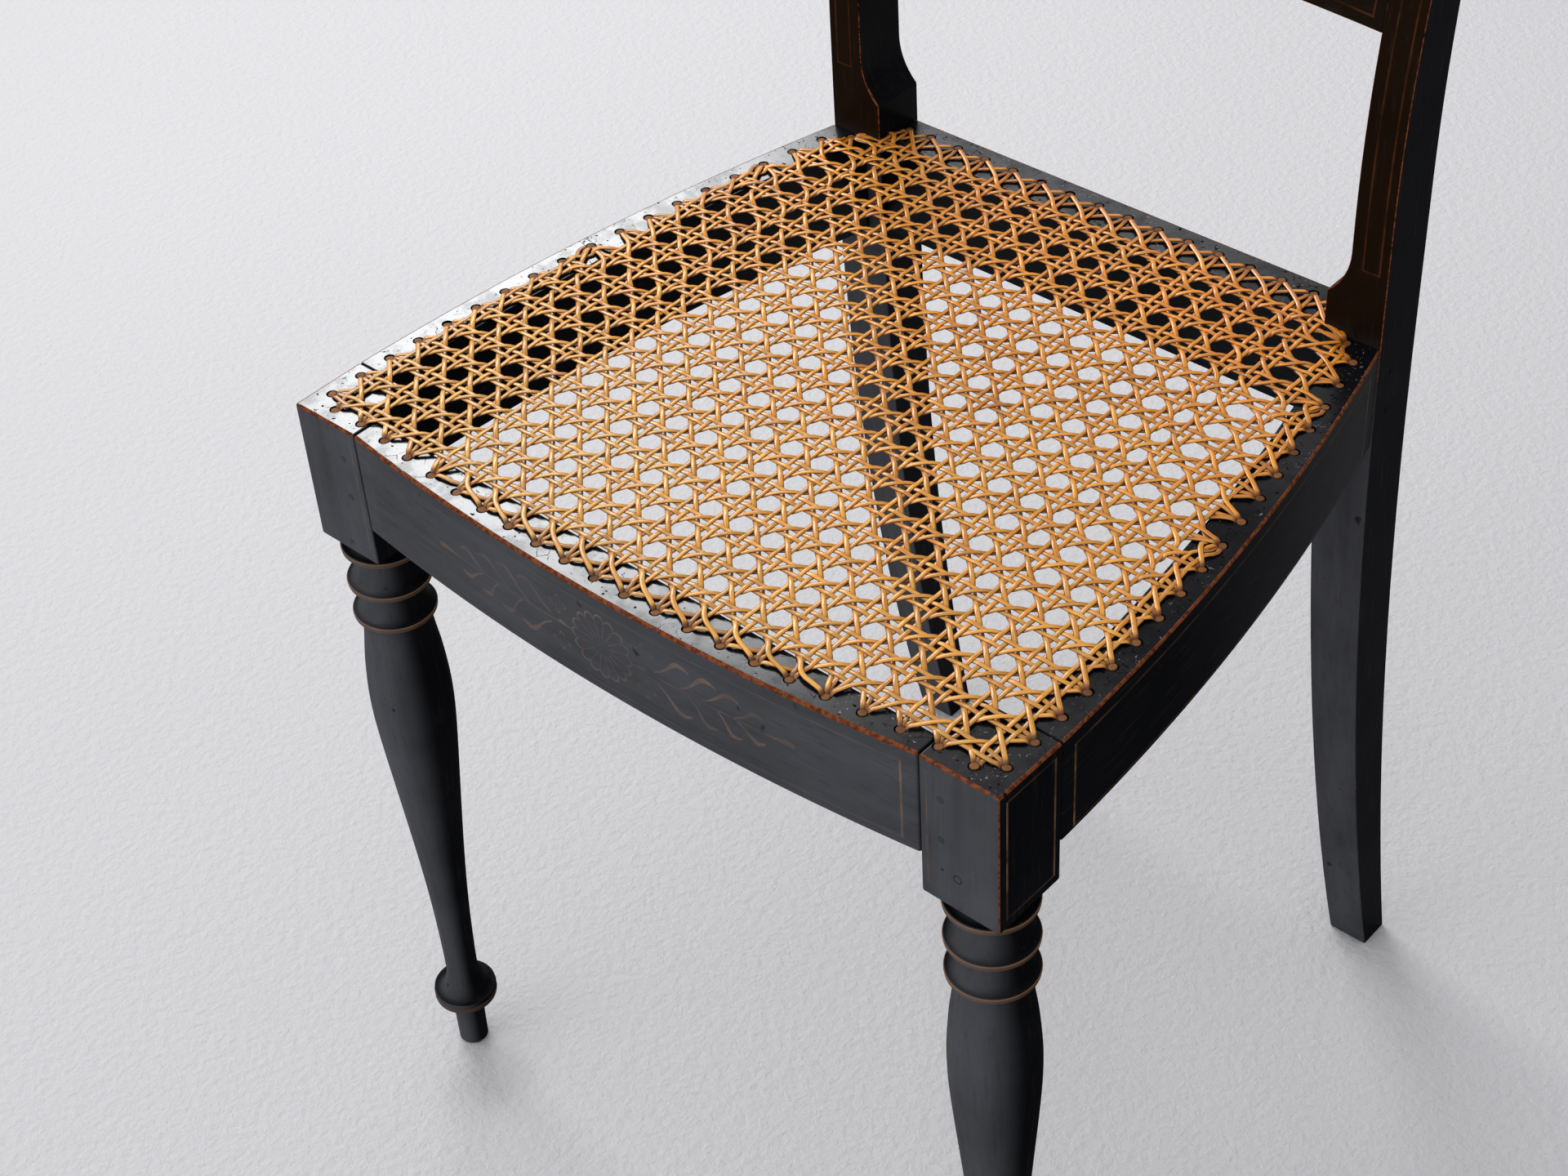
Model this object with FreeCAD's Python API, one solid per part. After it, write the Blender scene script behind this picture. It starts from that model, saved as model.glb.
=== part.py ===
import FreeCAD, Part
import math
import os

V = FreeCAD.Vector
X_AXIS = V(1, 0, 0)
Y_AXIS = V(0, 1, 0)
Z_AXIS = V(0, 0, 1)

# Painted side chair with a hand-caned seat. Millimetres, +Z up, the sitter faces -Y.
# While it is modelled, Y is zero midway between the blocks' front and the posts' front.

# Seat frame
seat_height = 488.0
seat_depth = 357.0
front_half_width = 220.0
rear_half_width = 176.0
rail_height = 60.0
front_rail_bow = 12.0
front_rail_end_thickness = 14.5
side_rail_bulge = 9.0
side_rail_thickness = 23.0
rear_rail_thickness = 26.6
rear_rail_setback = 2.4

# Front legs
block_width = 43.0
block_height = 83.0
block_edge_radius = 1.2
leg_splay_angle = 0.87
ring_radius = 22.1
ring_neck_radius = 15.0
flare_steps = 6
ring_heights = [9.5, 23.2, 21.6]
rim_height = 3.6
rim_swell = 0.3
vase_radius = 22.5
foot_ring_radius = 18.3
foot_ring_height = 24.0
foot_peg_length = 40.0
foot_peg_radius = 9.0
foot_peg_taper = 0.4
# Vase outline: (share of its length, share of its radius)
vase_shares = [(0.0, 0.79), (0.05, 0.84), (0.10, 0.92), (0.16, 0.98), (0.21, 1.0), (0.27, 0.98), (0.35, 0.91),
               (0.45, 0.805), (0.55, 0.70), (0.65, 0.60), (0.75, 0.515), (0.85, 0.455), (0.95, 0.42)]
vase_end_share = 0.415

# Rear posts: sabre leg below the seat, raked stile above it
post_width = 33.0
post_depth = 33.5
stile_width = 21.5
stile_top_depth = 24.0
foot_width = 25.0
foot_depth = 21.0
leg_sweep = 62.5
shoulder_rise = 22.0
cove_rise = 26.0
stile_straight = 67.0
stile_bend_radius = 633.0
stile_rake_angle = 11.2
stile_rise = 280.0

# Back
stay_rise = 185.0
stay_height = 45.0
stay_thickness = 15.0
stay_bow = 12.0
stay_setback = 1.5
crest_half_length = 205.0
crest_height = 92.0
crest_thickness = 18.0
crest_bow = 20.0
crest_setback = 3.0
crest_corner_radius = 16.0

# Cane seat
cane_pitch = 19.05
cane_thickness = 2.2
cane_opening = 10.4
cane_border = 6.4
hole_radius = 3.0
hole_depth = 10.0
hole_inset = 9.0
rear_hole_inset = 10.1
hole_wall = 1.5
peg_radius = 2.8
peg_length = 9.4

# Joints
glue_gap = 0.1
tenon_drop = 12.5
tenon_height = 38.0
front_tenon_thickness = 8.0
front_tenon_length = 21.0
side_tenon_thickness = 10.0
side_tenon_length = 21.0
rear_tenon_thickness = 9.0
rear_tenon_length = 14.0
stay_tenon_thickness = 7.0
stay_tenon_height = 30.0
stay_tenon_length = 13.0
crest_tenon_width = 12.0
crest_tenon_thickness = 9.0
crest_tenon_length = 24.0
pin_radius = 2.0
pin_length = 19.0
small_pin_radius = 1.5
pin_top_drop = 20.0
pin_spacing = 24.0
pin_inset = 11.5

# Overrun of every cut and blank past the faces that it crosses
overrun = 5.0

# Places that follow from the sizes above
front_y = -seat_depth / 2
post_y = seat_depth / 2
post_back_y = post_y + post_depth
block_inner_x = front_half_width - block_width
block_back_y = front_y + block_width
post_inner_x = rear_half_width - post_width
stile_inner_x = rear_half_width - stile_width
rear_rail_back_y = post_back_y - rear_rail_setback
rear_rail_front_y = rear_rail_back_y - rear_rail_thickness
front_rail_inner_y = front_y + front_rail_end_thickness
tenon_top = seat_height - tenon_drop
tenon_bottom = tenon_top - tenon_height
rake = math.radians(stile_rake_angle)
bend_end_z = seat_height + stile_straight + stile_bend_radius * math.sin(rake)
bend_end_y = post_y + stile_bend_radius * (1 - math.cos(rake))
stile_top_z = seat_height + stile_rise
stile_top_y = bend_end_y + (stile_top_z - bend_end_z) * math.tan(rake)


def box(x0, x1, y0, y1, z0, z1):
    """A block between two opposite corners, given in any order."""
    low = V(min(x0, x1), min(y0, y1), min(z0, z1))
    return Part.makeBox(abs(x1 - x0), abs(y1 - y0), abs(z1 - z0), low)


def line(a, b):
    return Part.LineSegment(a, b).toShape()


def arc(a, b, c):
    return Part.Arc(a, b, c).toShape()


def prism(edges, along):
    """A solid swept from a closed flat outline."""
    return Part.Face(Part.Wire(Part.__sortEdges__(edges))).extrude(along)


def mirrored(shape):
    return shape.mirror(V(0, 0, 0), X_AXIS)


def circle_through(a, b, bulge):
    """Centre and radius of the plan circle through a and b, bulging to the right of a to b."""
    chord = b - a
    half = chord.Length / 2
    radius = (half * half + bulge * bulge) / (2 * bulge)
    outward = V(chord.y, -chord.x, 0) / chord.Length
    return (a + b) / 2 - outward * (radius - bulge), radius


side_centre, side_radius = circle_through(
    V(front_half_width, block_back_y, 0), V(rear_half_width, post_y, 0), side_rail_bulge)
front_centre, front_radius = circle_through(
    V(-block_inner_x, front_y, 0), V(block_inner_x, front_y, 0), front_rail_bow)


def side_x(y, inset):
    """Half width of the seat at y, measured to a line kept inside the outer edge."""
    if y < block_back_y:
        return front_half_width - inset
    reach = side_radius - inset
    return side_centre.x + math.sqrt(reach * reach - (y - side_centre.y) ** 2)


def front_edge_y(x, inset):
    """Front of the seat at x, measured to a line kept inside the outer edge."""
    if abs(x) > block_inner_x:
        return front_y + inset
    reach = front_radius - inset
    return front_centre.y - math.sqrt(reach * reach - x * x)


def half_places(limit):
    """Hole places at odd half pitches on one side of the centre line."""
    count = int(limit / cane_pitch + 0.5)
    return [(k + 0.5) * cane_pitch for k in range(count)]


def hole_rows():
    """Centres of the cane holes, in one list for each rail."""
    corner_y = post_y - hole_radius - hole_wall
    corner_x = (post_inner_x + rear_half_width) / 2
    last_rear_x = post_inner_x - hole_radius - hole_wall
    front = []
    rear = []
    right = []
    for x in half_places(front_half_width - 2 * hole_inset):
        front += [(-x, front_edge_y(x, hole_inset)), (x, front_edge_y(x, hole_inset))]
    for x in half_places(post_inner_x):
        rear += [(-min(x, last_rear_x), rear_rail_back_y - rear_hole_inset),
                 (min(x, last_rear_x), rear_rail_back_y - rear_hole_inset)]
    for y in half_places(post_y - 2 * hole_radius):
        right += [(side_x(-y, hole_inset), -y), (side_x(y, hole_inset), y)]
    right.append((corner_x, corner_y))
    left = [(-x, y) for x, y in right]
    return {"front": front, "rear": rear, "right": right, "left": left}


def drilled_pegs(places, radius, top, length):
    """Upright cylinders whose upper ends lie at top, for holes and for pegs."""
    return [Part.makeCylinder(radius, length, V(x, y, top - length)) for x, y in places]


def with_cane_holes(shape):
    """Drills the blind cane holes that fall on this piece."""
    reach = shape.BoundBox
    reach.enlarge(hole_radius)
    places = []
    for row in hole_rows().values():
        places += [p for p in row if reach.isInside(V(p[0], p[1], seat_height))]
    tools = drilled_pegs(places, hole_radius, seat_height + overrun, hole_depth + overrun)
    return shape.cut(Part.makeCompound(tools))


def ring_flare(z, drop):
    """Hollow flare from a neck at z out to its rim's top, a quarter of an ellipse."""
    reach = ring_radius - ring_neck_radius
    turns = [math.pi / 2 * step / flare_steps for step in range(flare_steps + 1)]
    curve = Part.BSplineCurve()
    curve.interpolate([V(ring_radius - reach * math.cos(turn), 0, z - drop * math.sin(turn)) for turn in turns])
    return curve.toShape()


def turning_outline():
    """Edges of the leg's turned outline in the XZ plane, from under the block to the floor."""
    z = seat_height - block_height
    edges = [line(V(0, 0, z + overrun), V(ring_neck_radius, 0, z + overrun))]
    above = V(ring_neck_radius, 0, z + overrun)
    for height in ring_heights:
        rim_top = z - height + rim_height
        rim_bottom = z - height
        rim_edge = V(ring_radius + rim_swell, 0, (rim_top + rim_bottom) / 2)
        edges.append(line(above, V(ring_neck_radius, 0, z)))
        edges.append(ring_flare(z, height - rim_height))
        edges.append(arc(V(ring_radius, 0, rim_top), rim_edge, V(ring_radius, 0, rim_bottom)))
        above = V(ring_radius, 0, rim_bottom)
        z = rim_bottom
    ankle_z = foot_peg_length + foot_ring_height
    ankle_radius = vase_radius * vase_end_share
    vase = [V(vase_radius * r, 0, z - (z - ankle_z) * share) for share, r in vase_shares]
    vase.append(V(ankle_radius, 0, ankle_z))
    edges.append(line(above, vase[0]))
    curve = Part.BSplineCurve()
    curve.interpolate(vase)
    edges.append(curve.toShape())
    lip_z = foot_peg_length + rim_height
    edge_z = lip_z + rim_height
    cove_mid = V((ankle_radius + foot_ring_radius) * 0.42, 0, edge_z + (ankle_z - edge_z) * 0.42)
    edges.append(arc(V(ankle_radius, 0, ankle_z), cove_mid, V(foot_ring_radius - rim_swell, 0, edge_z)))
    edges.append(arc(V(foot_ring_radius - rim_swell, 0, edge_z),
                     V(foot_ring_radius, 0, (edge_z + lip_z) / 2),
                     V(foot_ring_radius - rim_swell, 0, lip_z)))
    edges.append(line(V(foot_ring_radius - rim_swell, 0, lip_z), V(foot_ring_radius, 0, lip_z)))
    edges.append(line(V(foot_ring_radius, 0, lip_z), V(foot_ring_radius, 0, foot_peg_length)))
    edges.append(line(V(foot_ring_radius, 0, foot_peg_length), V(foot_peg_radius, 0, foot_peg_length)))
    tip = foot_peg_radius - foot_peg_taper
    edges.append(line(V(foot_peg_radius, 0, foot_peg_length), V(tip, 0, -overrun)))
    edges.append(line(V(tip, 0, -overrun), V(0, 0, -overrun)))
    edges.append(line(V(0, 0, -overrun), V(0, 0, seat_height - block_height + overrun)))
    return edges


def front_leg_right():
    """Square block at the seat corner and the turned leg under it, from one length of wood."""
    block_bottom = seat_height - block_height
    block = box(block_inner_x, front_half_width, front_y, block_back_y, block_bottom, seat_height)
    upright = [e for e in block.Edges if abs(e.Vertexes[0].Z - e.Vertexes[1].Z) > block_width]
    block = block.makeFillet(block_edge_radius, upright)
    centre = V(front_half_width - block_width / 2, front_y + block_width / 2, 0)
    turning = Part.Face(Part.Wire(turning_outline())).revolve(V(0, 0, 0), Z_AXIS, 360)
    turning.translate(centre)
    turning.rotate(V(centre.x, centre.y, block_bottom), Y_AXIS, -leg_splay_angle)
    above_floor = box(0, 2 * front_half_width, 2 * front_y, 0, 0, seat_height)
    leg = block.fuse(turning).common(above_floor)
    leg = leg.cut(front_tenon(glue_gap)).cut(side_front_tenon(glue_gap))
    leg = leg.cut(Part.makeCompound(front_pins(glue_gap) + side_front_pins(glue_gap)))
    return with_cane_holes(leg).removeSplitter()


def front_tenon(gap):
    """Right-hand tenon of the front rail, or its mortise when gap is the glue space."""
    middle = (front_y + front_rail_inner_y) / 2
    half = front_tenon_thickness / 2 + gap
    return box(block_inner_x, block_inner_x + front_tenon_length + gap, middle - half, middle + half,
               tenon_bottom - gap, tenon_top + gap)


def side_front_tenon(gap):
    middle = front_half_width - side_rail_thickness / 2
    half = side_tenon_thickness / 2 + gap
    return box(middle - half, middle + half, block_back_y, block_back_y - side_tenon_length - gap,
               tenon_bottom - gap, tenon_top + gap)


def side_rear_tenon(gap):
    middle = rear_half_width - side_rail_thickness / 2
    half = side_tenon_thickness / 2 + gap
    return box(middle - half, middle + half, post_y, post_y + side_tenon_length + gap,
               tenon_bottom - gap, tenon_top + gap)


def rear_tenon(gap):
    middle = (rear_rail_front_y + rear_rail_back_y) / 2
    half = rear_tenon_thickness / 2 + gap
    return box(post_inner_x, post_inner_x + rear_tenon_length + gap, middle - half, middle + half,
               tenon_bottom - gap, tenon_top + gap)


def pin_heights():
    return [seat_height - pin_top_drop, seat_height - pin_top_drop - pin_spacing]


def pins(starts, along, radius, gap):
    """Round wooden pins, or their holes when gap is the space left round them."""
    return [Part.makeCylinder(radius + gap, pin_length, start, along) for start in starts]


def front_pins(gap):
    """Draw pins in the block's front face, through the front rail's tenon."""
    starts = [V(block_inner_x + pin_inset, front_y, z) for z in pin_heights()]
    return pins(starts, Y_AXIS, pin_radius, gap)


def side_front_pins(gap):
    """Draw pins in the block's outer face, through the side rail's front tenon."""
    starts = [V(front_half_width, block_back_y - pin_inset, z) for z in pin_heights()]
    return pins(starts, -X_AXIS, small_pin_radius, gap)


def side_rear_pins(gap):
    """Draw pins in the post's outer face, through the side rail's rear tenon."""
    starts = [V(rear_half_width, post_y + pin_inset, z) for z in pin_heights()]
    return pins(starts, -X_AXIS, small_pin_radius, gap)


def rear_pins(gap):
    """Draw pins in the post's back face, through the rear rail's tenon."""
    starts = [V(post_inner_x + rear_tenon_length / 2, post_back_y, z) for z in pin_heights()]
    return pins(starts, -Y_AXIS, small_pin_radius, gap)


def front_rail():
    """Top-flush front rail, bowed on its face and straight inside."""
    a = V(-block_inner_x, front_y, 0)
    b = V(block_inner_x, front_y, 0)
    bow = V(0, front_y - front_rail_bow, 0)
    c = V(block_inner_x, front_rail_inner_y, 0)
    d = V(-block_inner_x, front_rail_inner_y, 0)
    rail = prism([arc(a, bow, b), line(b, c), line(c, d), line(d, a)], V(0, 0, rail_height))
    rail.translate(V(0, 0, seat_height - rail_height))
    rail = rail.fuse([front_tenon(0), mirrored(front_tenon(0))])
    holes = front_pins(glue_gap)
    rail = rail.cut(Part.makeCompound(holes + [mirrored(h) for h in holes]))
    return with_cane_holes(rail).removeSplitter()


def side_rail_right():
    """Side rail, gently convex in plan, tenoned into the block and the post."""
    middle_y = (block_back_y + post_y) / 2
    outer = [V(side_x(y, 0), y, 0) for y in (block_back_y, middle_y, post_y)]
    inner = [V(side_x(y, side_rail_thickness), y, 0) for y in (block_back_y, middle_y, post_y)]
    edges = [arc(*outer), line(outer[2], inner[2]), arc(*inner), line(inner[0], outer[0])]
    rail = prism(edges, V(0, 0, rail_height))
    rail.translate(V(0, 0, seat_height - rail_height))
    rail = rail.fuse([side_front_tenon(0), side_rear_tenon(0)])
    rail = rail.cut(Part.makeCompound(side_front_pins(glue_gap) + side_rear_pins(glue_gap)))
    return with_cane_holes(rail).removeSplitter()


def rear_rail():
    """Straight rear rail between the posts."""
    rail = box(-post_inner_x, post_inner_x, rear_rail_front_y, rear_rail_back_y,
               seat_height - rail_height, seat_height)
    rail = rail.fuse([rear_tenon(0), mirrored(rear_tenon(0))])
    holes = rear_pins(glue_gap)
    rail = rail.cut(Part.makeCompound(holes + [mirrored(h) for h in holes]))
    return with_cane_holes(rail).removeSplitter()


def swept_points(y, sweep):
    """Three points of the circle that leaves the seat plumb at y and sweeps back to the floor."""
    radius = (seat_height * seat_height + sweep * sweep) / (2 * sweep)
    half_turn = math.asin(seat_height / radius) / 2
    middle = V(0, y + radius * (1 - math.cos(half_turn)), seat_height - radius * math.sin(half_turn))
    return V(0, y, seat_height), middle, V(0, y + sweep, 0)


def bend_point(turn, offset):
    """A point on the stile's bend, offset square to its front face."""
    y = post_y + stile_bend_radius * (1 - math.cos(turn)) + offset * math.cos(turn)
    z = seat_height + stile_straight + stile_bend_radius * math.sin(turn) - offset * math.sin(turn)
    return V(0, y, z)


def post_side_outline():
    """The post seen from its side: sabre leg, plumb seat length, bend and raked stile."""
    front_seat, front_mid, front_foot = swept_points(post_y, leg_sweep)
    back_sweep = leg_sweep - post_depth + foot_depth
    back_seat, back_mid, back_foot = swept_points(post_back_y, back_sweep)
    bend_start = V(0, post_y, seat_height + stile_straight)
    bend_end = bend_point(rake, 0)
    top_front = V(0, stile_top_y, stile_top_z)
    top_back = top_front + V(0, math.cos(rake), -math.sin(rake)) * stile_top_depth
    bend_depth = (post_depth + stile_top_depth) / 2
    back_start = V(0, post_back_y, seat_height + stile_straight)
    back = Part.BSplineCurve()
    back.interpolate(Points=[back_start, bend_point(rake, bend_depth), top_back],
                     InitialTangent=Z_AXIS, FinalTangent=V(0, math.sin(rake), math.cos(rake)))
    return [arc(front_foot, front_mid, front_seat), line(front_seat, bend_start),
            arc(bend_start, bend_point(rake / 2, 0), bend_end), line(bend_end, top_front),
            line(top_front, top_back), back.toShape(), line(back_start, back_seat),
            arc(back_seat, back_mid, back_foot), line(back_foot, front_foot)]


def post_front_outline():
    """The right post seen from the front: coved in to the stile, tapered down to the foot."""
    cove_x = post_width - stile_width
    cove_radius = (cove_x * cove_x + cove_rise * cove_rise) / (2 * cove_x)
    half_turn = math.asin(cove_rise / cove_radius) / 2
    top = stile_top_z + overrun
    shoulder = V(post_inner_x, 0, seat_height + shoulder_rise)
    cove_top = V(stile_inner_x, 0, seat_height + shoulder_rise + cove_rise)
    cove_mid = cove_top - V(cove_radius * (1 - math.cos(half_turn)), 0, cove_radius * math.sin(half_turn))
    points = [V(stile_inner_x, 0, top), V(rear_half_width, 0, top), V(rear_half_width, 0, 0),
              V(rear_half_width - foot_width, 0, 0), V(post_inner_x, 0, seat_height - rail_height), shoulder]
    edges = [line(points[i], points[i + 1]) for i in range(len(points) - 1)]
    return edges + [arc(shoulder, cove_mid, cove_top), line(cove_top, points[0])]


def raked(shape, y, z, turn):
    """Leans a piece back about its own X line and carries it to its place on the stile."""
    shape.rotate(V(0, 0, 0), X_AXIS, -math.degrees(turn))
    shape.translate(V(0, y, z))
    return shape


def crest_tenon(gap):
    """Right-hand stile's top tenon, or its mortise in the crest."""
    middle_x = (stile_inner_x + rear_half_width) / 2
    middle_y = crest_setback + crest_thickness / 2
    half_x = crest_tenon_width / 2 + gap
    half_y = crest_tenon_thickness / 2 + gap
    tenon = box(middle_x - half_x, middle_x + half_x, middle_y - half_y, middle_y + half_y,
                -gap, crest_tenon_length + gap)
    return raked(tenon, stile_top_y, stile_top_z, rake)


def crest_pins(gap):
    """A pin from behind through the crest and the stile's tenon."""
    back = crest_setback + crest_thickness
    middle_x = (stile_inner_x + rear_half_width) / 2
    hole = Part.makeCylinder(small_pin_radius + gap, crest_thickness / 2 + crest_tenon_thickness / 2,
                             V(middle_x, back, crest_tenon_length / 2), -Y_AXIS)
    return [raked(hole, stile_top_y, stile_top_z, rake)]


def stay_place():
    """Where the stay rail's middle height meets the stile's front face, and the lean there."""
    turn = math.asin((stay_rise - stile_straight) / stile_bend_radius)
    at = bend_point(turn, 0)
    return at.y, at.z, turn


def stay_tenon(gap):
    middle_y = stay_setback + stay_thickness / 2
    half_y = stay_tenon_thickness / 2 + gap
    half_z = stay_tenon_height / 2 + gap
    tenon = box(stile_inner_x, stile_inner_x + stay_tenon_length + gap, middle_y - half_y,
                middle_y + half_y, -half_z, half_z)
    return raked(tenon, *stay_place())


def stay_pins(gap):
    """A pin from behind through the stile and the stay rail's tenon, cut flush with the stile's back."""
    middle_x = stile_inner_x + stay_tenon_length / 2
    length = post_depth - stile_top_depth + pin_length
    hole = Part.makeCylinder(small_pin_radius + gap, length, V(middle_x, post_depth, 0), -Y_AXIS)
    hole = raked(hole, *stay_place())
    if gap:
        return [hole]
    return [hole.common(prism(post_side_outline(), V(rear_half_width, 0, 0)))]


def rear_post_right():
    """Sabre leg and stile in one length of wood, sawn from two sides."""
    side = prism(post_side_outline(), V(rear_half_width + overrun, 0, 0))
    front = prism(post_front_outline(), V(0, 2 * seat_height, 0))
    post = side.common(front)
    post = post.fuse(crest_tenon(0))
    post = post.cut(side_rear_tenon(glue_gap)).cut(rear_tenon(glue_gap)).cut(stay_tenon(glue_gap))
    holes = side_rear_pins(glue_gap) + rear_pins(glue_gap) + stay_pins(glue_gap) + crest_pins(glue_gap)
    return post.cut(Part.makeCompound(holes)).removeSplitter()


def bowed_board(half_length, end_y, bow, thickness, z0, z1):
    """A board hollow to the sitter in plan, with both faces on the same curve."""
    a = V(-half_length, end_y, z0)
    b = V(half_length, end_y, z0)
    deep = V(0, thickness, 0)
    middle = V(0, end_y + bow, z0)
    edges = [arc(a, middle, b), line(b, b + deep), arc(b + deep, middle + deep, a + deep), line(a + deep, a)]
    return prism(edges, V(0, 0, z1 - z0))


def stay_rail():
    """Narrow lower back rail, tenoned between the stiles."""
    rail = bowed_board(stile_inner_x, stay_setback, stay_bow, stay_thickness,
                       -stay_height / 2, stay_height / 2)
    rail = raked(rail, *stay_place())
    rail = rail.fuse([stay_tenon(0), mirrored(stay_tenon(0))])
    holes = stay_pins(glue_gap)
    return rail.cut(Part.makeCompound(holes + [mirrored(h) for h in holes])).removeSplitter()


def crest_end_y():
    """Front of the crest at its ends, so that it crosses the stiles at its named setback."""
    radius = (crest_half_length ** 2 + crest_bow ** 2) / (2 * crest_bow)
    stile_x = (stile_inner_x + rear_half_width) / 2
    fall = math.sqrt(radius ** 2 - stile_x ** 2) - math.sqrt(radius ** 2 - crest_half_length ** 2)
    return crest_setback - fall


def crest_rail():
    """Bowed tablet that rests on both stiles, with rounded upper corners."""
    board = bowed_board(crest_half_length, crest_end_y(), crest_bow, crest_thickness, 0, crest_height)
    corners = [e for e in board.Edges if abs(e.CenterOfMass.z - crest_height) < glue_gap
               and abs(abs(e.CenterOfMass.x) - crest_half_length) < glue_gap]
    board = board.makeFillet(crest_corner_radius, corners)
    board = raked(board, stile_top_y, stile_top_z, rake)
    holes = [crest_tenon(glue_gap)] + crest_pins(glue_gap)
    return board.cut(Part.makeCompound(holes + [mirrored(h) for h in holes])).removeSplitter()


def octagon(x, y):
    """Eight-sided opening of the weave, flat sides to the rails."""
    radius = cane_opening / 2 / math.cos(math.pi / 8)
    corners = [V(x + radius * math.cos((k + 0.5) * math.pi / 4),
                 y + radius * math.sin((k + 0.5) * math.pi / 4), seat_height) for k in range(8)]
    return Part.makePolygon(corners + corners[:1])


def cane_places():
    """Weave openings that lie wholly over the open frame."""
    margin = cane_opening / 2 + cane_border
    columns = int(front_half_width / cane_pitch)
    rows = int(post_back_y / cane_pitch)
    places = []
    for row in range(-rows, rows + 1):
        y = row * cane_pitch
        if not front_rail_inner_y + margin < y < rear_rail_front_y - margin:
            continue
        limit = side_x(y, side_rail_thickness) - margin
        if y - margin < block_back_y:
            limit = block_inner_x - margin
        if y + margin > post_y:
            limit = min(limit, post_inner_x - margin)
        places += [(k * cane_pitch, y) for k in range(-columns, columns + 1) if abs(k * cane_pitch) < limit]
    return places


def cane_seat():
    """The woven cane as one holed sheet that lies on the rails inside the rows of holes."""
    inset = hole_inset + hole_radius + glue_gap
    z = seat_height
    notch_x = post_inner_x - hole_radius
    notch_y = post_y - 2 * (hole_radius + hole_wall)
    rear_y = rear_rail_back_y - rear_hole_inset - hole_radius - glue_gap
    corner = V(front_half_width - inset, front_y + inset, z)
    side_start = V(corner.x, block_back_y, z)
    side_end = V(side_x(notch_y, inset), notch_y, z)
    side_mid_y = (block_back_y + notch_y) / 2
    edges = []
    for turn in (V, mirror_point):
        run = [turn(p) for p in (V(block_inner_x, corner.y, z), corner, side_start, side_end,
                                 V(notch_x, notch_y, z), V(notch_x, rear_y, z), V(0, rear_y, z))]
        bend = turn(V(side_x(side_mid_y, inset), side_mid_y, z))
        edges += [line(run[0], run[1]), line(run[1], run[2]), arc(run[2], bend, run[3])]
        edges += [line(run[3], run[4]), line(run[4], run[5]), line(run[5], run[6])]
    edges.append(arc(V(-block_inner_x, corner.y, z), V(0, front_edge_y(0, inset), z),
                     V(block_inner_x, corner.y, z)))
    outline = Part.Wire(Part.__sortEdges__(edges))
    gaps = [Part.Wire(octagon(x, y)) for x, y in cane_places()]
    sheet = Part.Face([outline] + gaps, "Part::FaceMakerBullseye")
    return sheet.extrude(V(0, 0, cane_thickness))


def mirror_point(p):
    return V(-p.x, p.y, p.z)


def cane_pegs(side):
    """The wooden pegs that lock the strand ends in one rail's holes."""
    top = seat_height - hole_depth + glue_gap + peg_length
    return Part.makeCompound(drilled_pegs(hole_rows()[side], peg_radius, top, peg_length))


def both_sides(solids):
    return Part.makeCompound(solids + [mirrored(s) for s in solids])


def rear_reach():
    """Rearmost Y of the chair: the sabre foot or the crest's upper back edge."""
    foot = post_back_y + leg_sweep - post_depth + foot_depth
    deepest = crest_end_y() + crest_bow + crest_thickness
    crest = stile_top_y + deepest * math.cos(rake) + crest_height * math.sin(rake)
    return max(foot, crest)


def build():
    leg = front_leg_right()
    post = rear_post_right()
    side = side_rail_right()
    nodes = {
        "front_leg_right": leg,
        "front_leg_left": mirrored(leg),
        "rear_post_right": post,
        "rear_post_left": mirrored(post),
        "front_rail": front_rail(),
        "side_rail_right": side,
        "side_rail_left": mirrored(side),
        "rear_rail": rear_rail(),
        "stay_rail": stay_rail(),
        "crest_rail": crest_rail(),
        "cane_seat": cane_seat(),
        "front_cane_pegs": cane_pegs("front"),
        "rear_cane_pegs": cane_pegs("rear"),
        "right_cane_pegs": cane_pegs("right"),
        "left_cane_pegs": cane_pegs("left"),
        "front_rail_pins": both_sides(front_pins(0)),
        "side_rail_front_pins": both_sides(side_front_pins(0)),
        "side_rail_rear_pins": both_sides(side_rear_pins(0)),
        "rear_rail_pins": both_sides(rear_pins(0)),
        "stay_rail_pins": both_sides(stay_pins(0)),
        "crest_pins": both_sides(crest_pins(0)),
    }
    middle = V(0, (rear_reach() + front_y - front_rail_bow) / 2, 0)
    os.makedirs("parts", exist_ok=True)
    for name, shape in nodes.items():
        shape.translate(-middle)
        shape.exportStep("parts/" + name + ".step")
        print(name, len(shape.Solids), "solids", shape.isValid(), round(shape.Volume), "mm3")


build()
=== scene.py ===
import bmesh
import bpy
import math
import random
from mathutils import Matrix, Vector


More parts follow.
